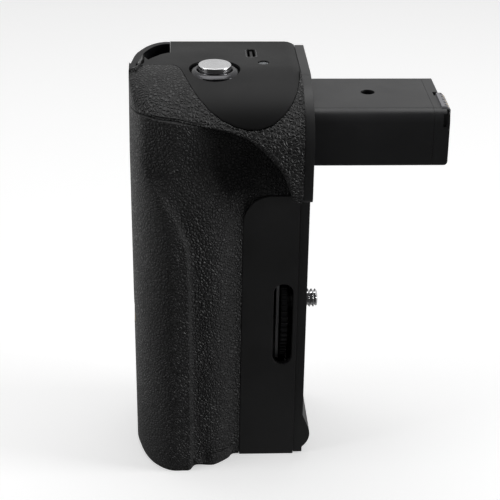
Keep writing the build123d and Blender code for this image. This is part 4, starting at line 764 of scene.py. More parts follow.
def lathe(name, profile, centre, axis, steps=96):
    """Turn a closed profile of (radius, place along the axis) round an axis."""
    points = []
    for radius, along in profile:
        for u, v in circle(radius, (0.0, 0.0), steps):
            if axis == "Z":
                points.append((centre[0] + u, centre[1] + v, along))
            elif axis == "X":
                points.append((along, centre[0] + u, centre[1] + v))
            else:
                points.append((centre[0] + v, along, centre[1] + u))
    obj = mesh_of(name, points, grid_faces(len(profile), steps, closed=True))
    with edited(obj) as bm:
        bmesh.ops.remove_doubles(bm, verts=bm.verts, dist=0.0005 * MM)
        bmesh.ops.holes_fill(bm, edges=bm.edges, sides=0)
        bmesh.ops.recalc_face_normals(bm, faces=bm.faces)
    return obj


def rounded_profile(corners, steps=4):
    """Profile through corners of (radius, along, rounding), each rounded a little."""
    points = []
    for i, (r, a, size) in enumerate(corners):
        if size == 0 or i in (0, len(corners) - 1):
            points.append((r, a))
            continue
        here = Vector((r, a))
        before = (Vector(corners[i - 1][:2]) - here).normalized() * size + here
        after = (Vector(corners[i + 1][:2]) - here).normalized() * size + here
        for k in range(steps + 1):
            t = k / steps
            spot = before * (1 - t) ** 2 + here * 2 * t * (1 - t) + after * t ** 2
            points.append((spot.x, spot.y))
    return points


def slab(name, low_corner, high_corner, edge, segments=2):
    """A block between two corners in millimetres, with its edges rounded."""
    (x0, y0, z0), (x1, y1, z1) = low_corner, high_corner
    points = [(x, y, z) for z in (z0, z1) for y in (y0, y1) for x in (x0, x1)]
    faces = ((0, 2, 3, 1), (4, 5, 7, 6), (0, 1, 5, 4), (2, 6, 7, 3), (0, 4, 6, 2), (1, 3, 7, 5))
    obj = mesh_of(name, points, faces)
    return bevel(obj, edge * MM, segments)


def prism(name, outline, low_place, high_place, axis="Z"):
    """An outline of (a, b) points pushed along an axis; the outline is in the other two axes."""
    def at(a, b, c):
        return {"Z": (a, b, c), "X": (c, a, b), "Y": (a, c, b)}[axis]

    count = len(outline)
    points = [at(a, b, c) for c in (low_place, high_place) for a, b in outline]
    faces = [tuple(range(count)), tuple(range(2 * count - 1, count - 1, -1))]
    faces += [(i, i + count, (i + 1) % count + count, (i + 1) % count) for i in range(count)]
    obj = mesh_of(name, points, faces)
    face_out(obj)
    return obj


def circle(radius, centre, steps=64):
    return [(centre[0] + radius * math.cos(2 * math.pi * k / steps),
             centre[1] + radius * math.sin(2 * math.pi * k / steps)) for k in range(steps)]


def rounded_box(centre, width, long, radius, steps=8):
    """Outline of a rounded rectangle."""
    points = []
    for k, (sx, sy) in enumerate(((1, 1), (-1, 1), (-1, -1), (1, -1))):
        cx = centre[0] + sx * (width / 2 - radius)
        cy = centre[1] + sy * (long / 2 - radius)
        for i in range(steps + 1):
            angle = math.pi / 2 * (k + i / steps)
            points.append((cx + radius * math.cos(angle), cy + radius * math.sin(angle)))
    return points


# Curves that follow the frame's own tables

def spline_weights(knots, spots):
    """Weights that turn values at the knots into a smooth curve's values at the spots."""
    count = len(knots)
    gaps = np.diff(knots)
    left = np.eye(count)
    right = np.zeros((count, count))
    for i in range(1, count - 1):
        left[i, i - 1:i + 2] = gaps[i - 1], 2 * (gaps[i - 1] + gaps[i]), gaps[i]
        right[i, i - 1:i + 2] = 6 / gaps[i - 1], -6 / gaps[i - 1] - 6 / gaps[i], 6 / gaps[i]
    bend = np.linalg.solve(left, right)
    i = np.clip(np.searchsorted(knots, spots, side="right") - 1, 0, count - 2)
    t = ((spots - knots[i]) / gaps[i])[:, None]
    size = (gaps[i] ** 2)[:, None]
    rows = np.arange(len(spots))
    weights = np.zeros((len(spots), count))
    weights[rows, i] = 1 - t[:, 0]
    weights[rows, i + 1] += t[:, 0]
    before = ((1 - t) ** 3 - (1 - t)) * size / 6 * bend[i]
    return weights + before + (t ** 3 - t) * size / 6 * bend[i + 1]


def curve_through(table, spots):
    """Values of a smooth curve through (place, value) pairs."""
    knots = np.array([p for p, _ in table], float)
    values = np.array([v for _, v in table], float)
    return spline_weights(knots, np.clip(spots, knots[0], knots[-1])) @ values


def steady(knots, values, spots):
    """Smooth values between levels that never overshoot them."""
    gaps = np.diff(knots)
    slopes = np.diff(values, axis=0) / gaps[:, None]
    rates = np.zeros_like(values)
    same = slopes[:-1] * slopes[1:] > 0
    wide = (2 * gaps[1:] + gaps[:-1])[:, None]
    near = (gaps[1:] + 2 * gaps[:-1])[:, None]
    with np.errstate(divide="ignore", invalid="ignore"):
        mean = (wide + near) / (wide / slopes[:-1] + near / slopes[1:])
    rates[1:-1] = np.where(same, mean, 0.0)
    i = np.clip(np.searchsorted(knots, spots, side="right") - 1, 0, len(gaps) - 1)
    t = ((spots - knots[i]) / gaps[i])[..., None]
    h = gaps[i][..., None]
    return ((1 + 2 * t) * (1 - t) ** 2 * values[i] + t * (1 - t) ** 2 * h * rates[i]
            + t ** 2 * (3 - 2 * t) * values[i + 1] + t ** 2 * (t - 1) * h * rates[i + 1])


def left_x(z):
    share = np.minimum(1.0, (z - FOOT_Z) / (LEFT_STRAIGHT_Z - FOOT_Z))
    return LEFT_FOOT_X + (LEFT_TOP_X - LEFT_FOOT_X) * share


def crease_z(x):
    """Height of the crease under the shoulder at one place across."""
    table = [(LEFT_TOP_X - s * LEFT_TOP_X, FOOT_Z + h * HEIGHT) for s, h in CREASE_SHARES]
    return float(curve_through(table, np.array([x]))[0])


class GripFront:
    """Front of the grip as a smooth sheet over (way round, height)."""

    def __init__(self):
        self.heights = np.array([FOOT_Z + level[0] * HEIGHT for level in LEVELS])
        self.depths = [np.array([form[k] + (seam, (seam + plate) / 2, plate)
                                 for _, form, seam, plate in LEVELS]) for k in (0, 1)]
        x, lobe, _ = self.knot_places(np.array([0.0]))
        steps = np.hypot(np.diff(x[0]), np.diff(lobe[0]))
        self.knots = np.concatenate(([0.0], np.cumsum(steps)))
        self.seam = self.knots[-3]

    def knot_places(self, z):
        """Places of the knots at heights z: across, on the lobe's curve and on the flank's."""
        left = left_x(z)[:, None]
        shares = np.array(WAY_SHARES)
        panel = [SEAM_X, (SEAM_X + CASE_RIGHT_X) / 2, CASE_RIGHT_X]
        x = np.concatenate([np.repeat(left, 3, 1), left + shares * (SEAM_X - left),
                            np.tile(panel, (len(z), 1))], 1)
        straight = np.tile([SPLIT_Y, (SPLIT_Y + START_Y) / 2, START_Y], (len(z), 1))
        deep = [PANEL_Y - steady(self.heights, depth, z) * LOBE_DEEP
                for depth in self.depths]
        lobe, flank = (np.concatenate([straight, curve], 1) for curve in deep)
        return x, lobe, flank

    def points(self, way, z):
        """Points of the sheet for arrays of the same length, the ridge included."""
        weights = spline_weights(self.knots, way)
        x, lobe_y, flank_y = ((weights * knots).sum(1) for knots in self.knot_places(z))
        high_share = np.clip((z - RIDGE_WIDER_Z) / RIDGE_WIDER_H, 0.0, 1.0)
        width = sizes().ridge / MM * (1.0 + RIDGE_WIDER * high_share)
        across = x - curve_through(RIDGE, z)
        past = 0.5 * (across + np.sqrt(across ** 2 + (RIDGE_ROUND * width) ** 2))
        down = 1.0 - np.exp(-past / width)
        lip = LIP_H * np.exp(-(across / LIP_W) ** 2)
        lip *= np.clip((LIP_END_Z - z) / LIP_FADE, 0.0, 1.0)
        return np.stack([x, lobe_y + (flank_y - lobe_y) * down - lip, z], 1)

    def spot(self, way, z):
        """One point of the sheet."""
        return self.points(np.array([way]), np.array([z]))[0]


def bottom_z(front, way):
    """Height of the covering's lower edge: straight under the palm lobe, lower past the ridge."""
    x = front.spot(way, RIM_Z)[0]
    return float(np.interp(x, [p for p, _ in FOOT_SEAM], [h for _, h in FOOT_SEAM]))


def low_rows(start, end, count):
    """Heights from the covering's foot to the panel's turn, closer together near the foot."""
    share = np.linspace(0.0, 1.0, count + 1)
    return start + (end - start) * (0.55 * share + 0.45 * share ** 2)


def covering_grid(front, gap):
    """Points and faces of the covering: its full height up to the seam, its upper part beyond."""
    across, beyond, lower, upper = (fineness() * count for count in COVERING_CELLS)
    left_ways = np.linspace(0.0, front.seam, across + 1)
    far = front.knots[-1] - COVERING_END
    right_ways = front.seam + (far - front.seam) * np.linspace(0.0, 1.0, beyond + 1)[1:]
    edge = len(left_ways) - 1
    flat_z = PANEL_TOP_Z - PANEL_ROUND
    radius = PANEL_ROUND + gap
    columns = []
    for k, way in enumerate(np.concatenate([left_ways, right_ways])):
        top = TOP_Z
        for _ in range(CREASE_TRIES):
            x = front.spot(way, top)[0]
            top = crease_z(x) - gap * CREASE_GAP
        if k <= edge:
            turn = flat_z
            low_part = low_rows(bottom_z(front, way) + gap, turn, lower)
        else:
            reach = min(radius, max(0.0, x - (SEAM_X - gap)))
            turn = flat_z + math.sqrt(max(0.0, radius ** 2 - (radius - reach) ** 2))
            low_part = np.full(lower + 1, turn)
        high_part = turn + (top - turn) * np.linspace(0.0, 1.0, upper + 1)[1:]
        z = np.concatenate([low_part, high_part])
        spots = front.points(np.full(len(z), way), z)
        if k == edge:
            spots[:, 0] -= gap
        columns.append(spots)
    rows = lower + upper + 1
    faces = []
    for k in range(len(columns) - 1):
        faces += strip(k, rows, 0 if k < edge else lower, rows - 1)
    return np.array(columns).reshape(-1, 3), faces


def drop_loose(obj):
    """Take away the points that no face uses."""
    with edited(obj) as bm:
        loose = [v for v in bm.verts if not v.link_faces]
        bmesh.ops.delete(bm, geom=loose, context="VERTS")


def seam_y(x, shift):
    """Seam between shoulder and top cover, moved forwards by the shift."""
    table = np.array(SEAM, float)
    tangent = np.gradient(table, axis=0)
    tangent /= np.hypot(tangent[:, 0], tangent[:, 1])[:, None]
    moved = table + shift * np.stack([tangent[:, 1], -tangent[:, 0]], 1)
    return np.interp(x, moved[:, 0], moved[:, 1])


def nose_z(y):
    """Height of the shoulder's nose along its middle."""
    share = np.clip((NOSE_START_Y - y) / (NOSE_START_Y - SHOULDER_Y), 0.0, 1.0)
    return NOSE_LOW_Z + (TOP_Z - NOSE_LOW_Z) * np.sqrt(1 - share ** 2)


def shoulder_columns():
    """Columns of the shoulder: foot point, way in, its two half sizes, way under and turn."""
    corner, straight = (fineness() * count for count in SHOULDER_CELLS[:2])
    columns = []
    for y in (BAND_Y, BAND_Y - 0.3):
        columns.append(((LEFT_TOP_X, y), (1.0, 0.0), SHOULDER_ROUND_W, SHOULDER_ROUND_H,
                        (1.0, 0.0), 0.0))
    deep = START_Y - SHOULDER_Y
    for share in np.linspace(0.0, 1.0, corner + 1):
        angle = math.pi / 2 * share
        sine, cosine = math.sin(angle), math.cos(angle)
        px = LEFT_TOP_X + SHOULDER_CORNER_W * (1 - cosine)
        py = START_Y - deep * sine
        fuller = min(1.0, share / FULLER_SHARE) ** 2
        round_w = SHOULDER_ROUND_W + FULLER_W * fuller
        qx = LEFT_TOP_X + round_w + (SHOULDER_CORNER_W - round_w) * (1 - cosine)
        qy = START_Y + (NOSE_START_Y - START_Y) * sine
        reach = math.hypot(qx - px, qy - py)
        rise = SHOULDER_ROUND_H + FULLER_H * fuller + NOSE_RISE * sine ** NOSE_POWER
        under = Vector((cosine * deep, sine * SHOULDER_CORNER_W)).normalized()
        columns.append(((px, py), ((qx - px) / reach, (qy - py) / reach), reach, rise,
                        (under.x, under.y), sine))
    start = LEFT_TOP_X + SHOULDER_CORNER_W
    for i in range(1, straight + 1):
        x = start + (CASE_RIGHT_X - start) * i / straight
        columns.append(((x, SHOULDER_Y), (0.0, 1.0), NOSE_START_Y - SHOULDER_Y,
                        TOP_Z - NOSE_LOW_Z, (0.0, 1.0), 1.0))
    return columns


def meridian(column, gap):
    """One line of the shoulder from under its ledge over the nose to the seam."""
    (px, py), (mx, my), reach, rise, (nx, ny), turned = column
    base = TOP_Z - rise
    low_z = crease_z(px)
    share = min(1.0, max(0.0, (px - LEFT_TOP_X - UNDER_START) / UNDER_W))
    round_size = UNDER_ROUND + UNDER_MORE * share ** UNDER_POWER

    def inset(z):
        up = min(1.0, max(0.0, (z - base) / rise))
        return reach * (1 - math.sqrt(1 - up * up))

    foot = inset(low_z)
    turn = np.array([px + mx * foot, py + my * foot, low_z])
    under = np.array([nx, ny, 0.0])
    inner = turn + round_size * under
    deep = turn + under * LEDGE_W + np.array([0.0, 0.0, LEDGE_RISE])
    up_z = low_z + round_size
    over = inset(up_z)
    outer = np.array([px + mx * over, py + my * over, up_z])
    line = [deep + (inner - deep) * t for t in np.linspace(0.0, 1.0, LEDGE_ROWS + 1)[:-1]]
    for t in np.linspace(0.0, 1.0, 7):
        line.append(inner * (1 - t) ** 2 + turn * 2 * t * (1 - t) + outer * t ** 2)
    dense = [(over, up_z)]
    if up_z < base:
        dense += [(0.0, z) for z in np.linspace(up_z, base, 30)[1:]]
    angle0 = math.asin(min(1.0, max(0.0, (up_z - base) / rise)))
    for angle in np.linspace(angle0, math.pi / 2, 160)[1:]:
        dense.append((reach * (1 - math.cos(angle)), base + rise * math.sin(angle)))
    dense = np.array([(px + mx * a, py + my * a, b) for a, b in dense])
    beyond = np.nonzero(dense[:, 1] > seam_y(dense[:, 0], gap))[0]
    if len(beyond) and px > LEFT_TOP_X + SHOULDER_CORNER_W - 1.0:
        last = max(1, beyond[0])
        short = dense[:, 1] - seam_y(dense[:, 0], gap)
        part = -short[last - 1] / (short[last] - short[last - 1])
        end = dense[last - 1] + (dense[last] - dense[last - 1]) * part
        dense = np.vstack([dense[:last], end])
    else:
        goal_x = LUG_EDGE[0][0] + (LEFT_TOP_X + SHOULDER_CORNER_W - LUG_EDGE[0][0]) * turned
        goal = np.array([goal_x, float(seam_y(goal_x, gap * 0.4)), TOP_Z])
        level = [dense[-1] + (goal - dense[-1]) * t for t in np.linspace(0.0, 1.0, 40)[1:]]
        dense = np.vstack([dense, level])
    steps = np.linalg.norm(np.diff(dense, axis=0), axis=1)
    along = np.concatenate(([0.0], np.cumsum(steps)))
    spots = np.linspace(0.0, along[-1], SHOULDER_CELLS[2] * fineness() + 1)[1:]
    line += [np.array([np.interp(spot, along, dense[:, c]) for c in range(3)]) for spot in spots]
    return line


def right_drop(x, y):
    """The cover rounds down towards the seating plate, and less so on its nose."""
    share = min(1.0, max(0.0, (x - CASE_RIGHT_X + DROP_W) / DROP_W))
    return DROP_H * share ** DROP_POWER * min(1.0, max(0.0, (y - DROP_FADE_Y) / DROP_FADE_W))


def top_grid(gap):
    """Points and faces of the top cover: beside the lug, and from the nose to the back."""
    edge = np.array(LUG_EDGE)
    x_turn, y_turn = LUG_EDGE[-1]
    count_left, count_right, rows_low, rows_high = (fineness() * count for count in TOP_CELLS)
    rows = rows_low + rows_high + 1
    share = np.linspace(0.0, 1.0, count_right + 1)[1:]
    xs = np.concatenate([np.linspace(TOP_LEFT_X, x_turn, count_left + 1),
                         x_turn + (CASE_RIGHT_X - x_turn) * (1.35 * share - 0.35 * share ** 3)])
    points = []
    for k, x in enumerate(xs):
        front = float(seam_y(x, -gap))
        lug = float(np.interp(x, edge[:, 0], edge[:, 1])) if k <= count_left else y_turn
        low_part = np.linspace(front, lug, rows_low + 1)
        high_part = np.full(rows_high, lug)
        if k >= count_left:
            high_part = np.linspace(lug, BACK_Y, rows_high + 1)[1:]
        for y in np.concatenate([low_part, high_part]):
            z = nose_z(y) if x > LEFT_TOP_X + SHOULDER_CORNER_W - 0.5 else TOP_Z
            points.append((x, y, z - right_drop(x, y)))
    faces = []
    for k in range(len(xs) - 1):
        faces += strip(k, rows, 0, rows_low if k < count_left else rows - 1)
    return points, faces


# Repeats

def node_group(name, *inputs):
    """An empty geometry tree with a geometry output and its named inputs."""
    tree = bpy.data.node_groups.new(name, "GeometryNodeTree")
    tree.interface.new_socket("Geometry", in_out="OUTPUT", socket_type="NodeSocketGeometry")
    for label, kind, default in inputs:
        socket = tree.interface.new_socket(label, in_out="INPUT", socket_type=kind)
        if default is not None:
            socket.default_value = default
    return tree, tree.nodes.new("NodeGroupInput"), tree.nodes.new("NodeGroupOutput")


def run_group(name, tree, **values):
    """Evaluate a tree on an empty object with its inputs set, and keep the plain mesh."""
    obj = new_object(name, bpy.data.meshes.new(name))
    made = obj.modifiers.new("repeat", "NODES")
    made.node_group = tree
    for item in tree.interface.items_tree:
        if item.item_type == "SOCKET" and item.in_out == "INPUT" and item.name in values:
            made[item.identifier] = values[item.name]
    return settle(obj)


def object_in(tree, given, label):
    """Geometry of the object that is an input of the tree."""
    return add(tree, "GeometryNodeObjectInfo", {"transform_space": "ORIGINAL"},
               Object=given.outputs[label]).outputs["Geometry"]


def put_out(tree, given, out, spots, shape, **turned):
    """Copies of the shape on the spots, made real, painted and given out."""
    placed = add(tree, "GeometryNodeInstanceOnPoints", Points=spots, Instance=shape, **turned)
    real = add(tree, "GeometryNodeRealizeInstances", Geometry=placed.outputs["Instances"])
    painted = add(tree, "GeometryNodeSetMaterial", Geometry=real.outputs["Geometry"],
                  Material=given.outputs["Finish"])
    plug(tree, out, "Geometry", painted.outputs["Geometry"])
    return tree


def ring_group():
    """Copies of one tooth, turned round the X axis."""
    tree, given, out = node_group("ring_of_teeth", ("Tooth", "NodeSocketObject", None),
                                  ("Count", "NodeSocketInt", 60),
                                  ("Finish", "NodeSocketMaterial", None))
    count = given.outputs["Count"]
    line = add(tree, "GeometryNodeMeshLine", Count=count, Offset=(0.0, 0.0, 0.0))
    index = add(tree, "GeometryNodeInputIndex").outputs[0]
    turn = sum_of(tree, "DIVIDE", sum_of(tree, "MULTIPLY", index, 2 * math.pi), count)
    spin = add(tree, "ShaderNodeCombineXYZ", X=turn)
    return put_out(tree, given, out, line.outputs["Mesh"], object_in(tree, given, "Tooth"),
                   Rotation=spin.outputs[0])


def spread_group():
    """Copies of one shape on every vertex of a layout."""
    tree, given, out = node_group("shape_on_layout", ("Shape", "NodeSocketObject", None),
                                  ("Layout", "NodeSocketObject", None),
                                  ("Finish", "NodeSocketMaterial", None))
    return put_out(tree, given, out, object_in(tree, given, "Layout"),
                   object_in(tree, given, "Shape"))


def spread(name, shape, spots, finish):
    """One plain mesh of a shape repeated on spots in millimetres."""
    layout = mesh_of(name + "_layout", spots, [])
    tree = bpy.data.node_groups.get("shape_on_layout") or spread_group()
    obj = run_group(name, tree, Shape=shape, Layout=layout, Finish=finish_of(finish))
    bpy.data.objects.remove(layout)
    bpy.data.objects.remove(shape)
    return obj


# Operators

class Step:
    """What the operators share. Each builds its own pieces, softens CAD pieces and paints others.

    A row of softened holds node, finish, body, slot, rounding in millimetres and its segments.
    """
    softened = ()
    painted = ()

    def execute(self, context):
        self.build()
        for row in self.softened:
            soften(*row)
        for row in self.painted:
            paint_node(*row)
        return {"FINISHED"}

    def build(self):
        """Nothing, unless the operator has pieces of its own."""


class GRIP_OT_covering(Step, bpy.types.Operator):
    """Soft grained covering with its palm lobe, its flank and the finger scoop"""
    bl_idname = "battery_grip.covering"
    bl_label = "Covering"
    painted = (("front_shell", "inner"),)

    def build(self):
        gap = sizes().seam / MM
        points, faces = covering_grid(GripFront(), gap)
        obj = mesh_of("grip_covering", points, faces)
        drop_loose(obj)
        thicken(obj, COVERING_T * MM)
        side = circle(TRIPOD_HOLE_R, TRIPOD)
        cut(obj, prism("tripod_cutter", side, LEFT_TOP_X - 2.0, LEFT_TOP_X + 4.0, "X"))
        bevel(obj, TOP_EDGE * MM, 2, 65.0)
        smooth(obj, 50.0)
        fit_out(obj, "covering", "grip", "textured_rubber", "grip_rubber")


class GRIP_OT_shoulder(Step, bpy.types.Operator):
    """Grained shoulder over the finger scoop"""
    bl_idname = "battery_grip.shoulder"
    bl_label = "Shoulder"

    def build(self):
        gap = sizes().seam / MM
        lines = [meridian(column, gap) for column in shoulder_columns()]
        rows = len(lines[0])
        points = [p for line in lines for p in line]
        faces = []
        for k in range(len(lines) - 1):
            faces += strip(k, rows, 0, rows - 1)
        obj = mesh_of("shoulder_skin", points, faces)
        thicken(obj, SHOULDER_T * MM)
        bevel(obj, 0.14 * MM, 2, 60.0)
        band = slab("shoulder_band", (LEFT_TOP_X, BAND_Y, crease_z(LEFT_TOP_X)),
                    (LEFT_TOP_X + BAND_W, SPLIT_Y - gap, BAND_TOP_Z), 0.2)
        obj = join("shoulder_grained", obj, band)
        for vertex in obj.data.vertices:
            vertex.co.x = max(vertex.co.x, LEFT_TOP_X * MM)
        smooth(obj, 50.0)
        fit_out(obj, "shoulder", "grip", "textured_plastic", "shoulder_cover")


class GRIP_OT_top(Step, bpy.types.Operator):
    """Smooth top cover with its tongue, the strap lug, the port and the lamp"""
    bl_idname = "battery_grip.top"
    bl_label = "Top"
    softened = (("strap_bar", "gloss", "grip", "gloss_black", 0.5, 4),
                ("strap_well", "satin", "grip", "satin_plastic", 0.2),
                # The port's shell takes the black inner finish in place of steel: painted shade in the
                # port's well below its steel rim.
                ("port_shell", "inner", "grip", "inner_plastic", 0.12))
    painted = (("port_tongue", "inner"),)

    def build(self):
        gap = sizes().seam / MM
        points, faces = top_grid(gap)
        obj = mesh_of("top_cover_smooth", points, faces)
        drop_loose(obj)
        thicken(obj, TOP_T * MM)
        tools = (("collar_cutter", circle(COLLAR_HOLE_R, BUTTON, 96)),
                 ("lamp_cutter", circle(LAMP_HOLE_R, LAMP, 40)),
                 ("port_cutter", rounded_box(PORT, *PORT_HOLE)))
        cut(obj, *(prism(name, outline, TOP_Z - CUTTER_DEEP, TOP_Z + CUTTER_HIGH)
                   for name, outline in tools))
        bevel(obj, TOP_EDGE * MM, 2, 50.0)
        fin = prism("fin", FIN, TOP_Z - 1.3, TOP_Z - 0.05)
        bevel(fin, 0.22 * MM, 3)
        obj = join("top_cover_dressed", obj, fin)
        smooth(obj, 40.0)
        fit_out(obj, "cover", "grip", "satin_plastic", "top_cover")
        rim = prism("port_rim", rounded_box(PORT, *PORT_RIM), TOP_Z - 0.8, TOP_Z - 0.02)
        cut(rim, prism("port_hole", rounded_box(PORT, *PORT_MOUTH), TOP_Z - 3, TOP_Z + CUTTER_HIGH))
        bevel(rim, 0.06 * MM, 2, 50.0)
        smooth(rim)
        fit_out(rim, "steel", "grip", "steel")
        corners = ((0.0, TOP_Z - 6.0, 0), (LAMP_R, TOP_Z - 6.0, 0), (LAMP_R, TOP_Z - 0.35, 0.25),
                   (0.0, TOP_Z - 0.28, 0))
        lens = lathe("lamp_lens", rounded_profile(corners), LAMP, "Z", 48)
        smooth(lens)
        fit_out(lens, "lamp", "grip", "lamp", "indicator_lens")


class GRIP_OT_casing(Step, bpy.types.Operator):
    """Rear shell, front panel, seating plate and foot"""
    bl_idname = "battery_grip.casing"
    bl_label = "Casing"
    softened = (("rear_shell", "casing", "grip", "textured_plastic", 0.25),
                ("front_panel", "satin", "grip", "satin_plastic", 0.28),
                ("seating_plate", "plate", "grip", "satin_plastic", 0.3),
                ("foot_frame", "casing", "grip", "textured_plastic", 0.25))


class GRIP_OT_arm(Step, bpy.types.Operator):
    """Battery arm with its end block and contacts"""
    bl_idname = "battery_grip.arm"
    bl_label = "Arm"
    softened = (("arm_shell", "arm", "grip", "arm_plastic", 0.25),
                ("contact_block", "pale", "grip", "pale_plastic", 0.15))
    painted = (("arm_ribbon", "ribbon"),)

    def build(self):
        end = copy_of("arm_end_block")
        tip = high("arm_end_block", 0)
        foot = low("arm_end_block", 2)
        turn = ARM_CORNER_R
        corner = [(tip + 0.5, foot - 0.5), (tip - turn, foot - 0.5)]
        for angle in np.linspace(0.0, math.pi / 2, 9):
            corner.append((tip - turn + turn * math.sin(angle),
                           foot + turn - turn * math.cos(angle)))
        corner.append((tip + 0.5, foot + turn))
        cut(end, prism("end_corner", corner, low("arm_end_block", 1) - 1,
                       high("arm_end_block", 1) + 1, "Y"))
        bevel(end, 0.14 * MM, 2, 40.0)
        smooth(end)
        level_normals(end)
        fit_out(end, "arm", "grip", "arm_plastic", "arm_end_block")
        self.contacts()

    def contacts(self):
        """Flat leaves with a raised rib, one in each groove of the block."""
        (x0, x1), (y0, y1), (z0, z1) = (span("arm_contacts", axis) for axis in range(3))
        x = middle("arm_contacts", 0)
        half = CONTACT_W / 2
        pitch = (y1 - y0 - CONTACT_W) / (CONTACT_COUNT - 1)
        profile = ((x0, z0), (x1, z0), (x1, z1 - 0.06), (x1 - 0.12, z1), (x + 0.2, z1),
                   (x, z1 + 0.12), (x - 0.2, z1), (x0, z1))
        leaf = prism("leaf", profile, -half, half, "Y")
        bevel(leaf, 0.03 * MM, 1)
        spots = [(0.0, y0 + half + pitch * i, 0.0) for i in range(CONTACT_COUNT)]
        obj = spread("contact_leaves", leaf, spots, "gold")
        smooth(obj)
        fit_out(obj, "gold", "grip", "gold_contact", "arm_contacts")


class GRIP_OT_button(Step, bpy.types.Operator):
    """Shutter button in its collar, with the parts under it"""
    bl_idname = "battery_grip.button"
    bl_label = "Button"
    painted = (("shutter_stem", "steel"),
               ("shutter_spring", "steel"),
               ("shutter_switch", "inner"))

    def build(self):
        top = high("shutter_cap", 2)
        foot = low("shutter_cap", 2)
        corners = ((0.0, foot + 0.8, 0), (STEM_R, foot + 0.8, 0), (STEM_R, foot, 0),
                   (CAP_R, foot, 0.1), (CAP_R, top - 0.05, 0.42), (4.5, top, 0.2),
                   (0.0, top - 0.35, 0))
        cap = lathe("button_cap", rounded_profile(corners, 5), BUTTON, "Z", 128)
        smooth(cap)
        fit_out(cap, "button_metal", "shutter", "brushed_metal", "shutter_cap")
        rim = high("shutter_collar", 2)
        seat = low("shutter_collar", 2)
        ring = ((COLLAR_FLOOR_R, seat, 0), (COLLAR_R, seat, 0), (COLLAR_R, rim - 0.95, 0.2),
                (7.2, rim - 0.35, 0.3), (6.3, rim, 0.3), (5.85, rim - 0.1, 0.1),
                (5.52, rim - 0.7, 0.1), (COLLAR_BORE_R, seat + 1.0, 0),
                (COLLAR_FLOOR_R, seat + 1.0, 0), (COLLAR_FLOOR_R, seat, 0))
        collar = lathe("button_collar", rounded_profile(ring, 4), BUTTON, "Z", 128)
        smooth(collar)
        fit_out(collar, "collar_metal", "grip", "brushed_metal", "shutter_collar")


class GRIP_OT_wheel(Step, bpy.types.Operator):
    """Knurled thumbwheel and the threaded camera screw"""
    bl_idname = "battery_grip.wheel"
    bl_label = "Wheel and screw"
    painted = (("wheel_carrier", "steel"),
               ("wheel_axle", "steel"))

    def build(self):
        self.wheel()
        self.screw()

    def wheel(self):
        back, front = low("thumbwheel", 0), high("thumbwheel", 0)
        rim = high("thumbwheel", 2)
        deep = rim - sizes().knurl_depth / MM
        ring = ((WHEEL_BORE_R, back, 0), (WHEEL_HUB_R, back, 0), (WHEEL_STEP_R, back + 0.3, 0),
                (deep - 0.9, back + 0.3, 0), (deep - 0.5, back, 0.1), (deep, back + 0.25, 0.1),
                (deep, front - 0.25, 0.1), (deep - 0.5, front, 0.1), (deep - 0.9, front - 0.3, 0),
                (WHEEL_STEP_R, front - 0.3, 0), (WHEEL_HUB_R, front, 0), (WHEEL_BORE_R, front, 0),
                (WHEEL_BORE_R, back, 0))
        disc = lathe("wheel_disc", rounded_profile(ring, 3), (0.0, 0.0), "X", 120)
        half = math.pi * rim / sizes().knurl_count * KNURL_SHARE
        profile = ((-half, deep - 0.2), (-half + 0.12, rim - 0.08), (-half / 2, rim),
                   (half / 2, rim), (half - 0.12, rim - 0.08), (half, deep - 0.2))
        tooth = prism("tooth", profile, back + 0.1, front - 0.1, "X")
        bevel(tooth, 0.1 * MM, 1)
        teeth = run_group("wheel_teeth", ring_group(), Tooth=tooth, Count=sizes().knurl_count,
                          Finish=finish_of("wheel_metal"))
        bpy.data.objects.remove(tooth)
        obj = join("thumbwheel_knurled", disc, teeth)
        smooth(obj)
        fit_out(obj, "wheel_metal", "attachment_screw", "brushed_metal", "thumbwheel")

    def screw(self):
        """Flange, neck and a helical thread with a bevelled tip."""
        pitch = sizes().thread_pitch / MM
        depth = sizes().thread_depth / MM
        end = high("camera_screw", 0)
        back = low("camera_screw", 0)
        steps = SCREW_STEPS
        unit = circle(1.0, (0.0, 0.0), steps)
        points = []
        profile = ((SCREW_BORE_R, back), (SCREW_BACK_R, back), (SCREW_BACK_R, FLANGE_BACK_X),
                   (FLANGE_R, FLANGE_BACK_X), (FLANGE_R, FLANGE_X - 0.1),
                   (FLANGE_R - 0.1, FLANGE_X), (SCREW_NECK_R, FLANGE_X),
                   (SCREW_NECK_R, THREAD_X - 0.05))
        for radius, x in profile:
            points += [(x, radius * u, radius * v) for u, v in unit]
        places_x = np.linspace(THREAD_X, end, THREAD_ROWS)
        for x in places_x:
            tip = SCREW_R - max(0.0, x - end + SCREW_TIP)
            start = SCREW_NECK_R + max(0.0, x - THREAD_X) * 2.2
            for k, (u, v) in enumerate(unit):
                turn = (x / pitch - k / steps) % 1.0
                tooth = min(1.0, max(0.0, (abs(turn - 0.5) * 2 - 0.12) / 0.76))
                radius = min(SCREW_R - depth * tooth, tip, start)
                points.append((x, radius * u, radius * v))
        faces = grid_faces(len(profile) + len(places_x), steps, closed=True)
        count = len(points)
        for radius, x in ((1.2, end), (1.0, end - 0.25)):
            points += [(x, radius * u, radius * v) for u, v in unit]
        faces += grid_faces(2, steps, count - steps, closed=True)
        faces += grid_faces(2, steps, count, closed=True)
        faces.append(tuple(range(count + steps, count + 2 * steps)))
        faces.append(tuple(range(steps)))
        obj = mesh_of("camera_screw_threaded", points, faces)
        face_out(obj)
        smooth(obj, 40.0)
        fit_out(obj, "bright_steel", "attachment_screw", "bright_steel", "camera_screw")


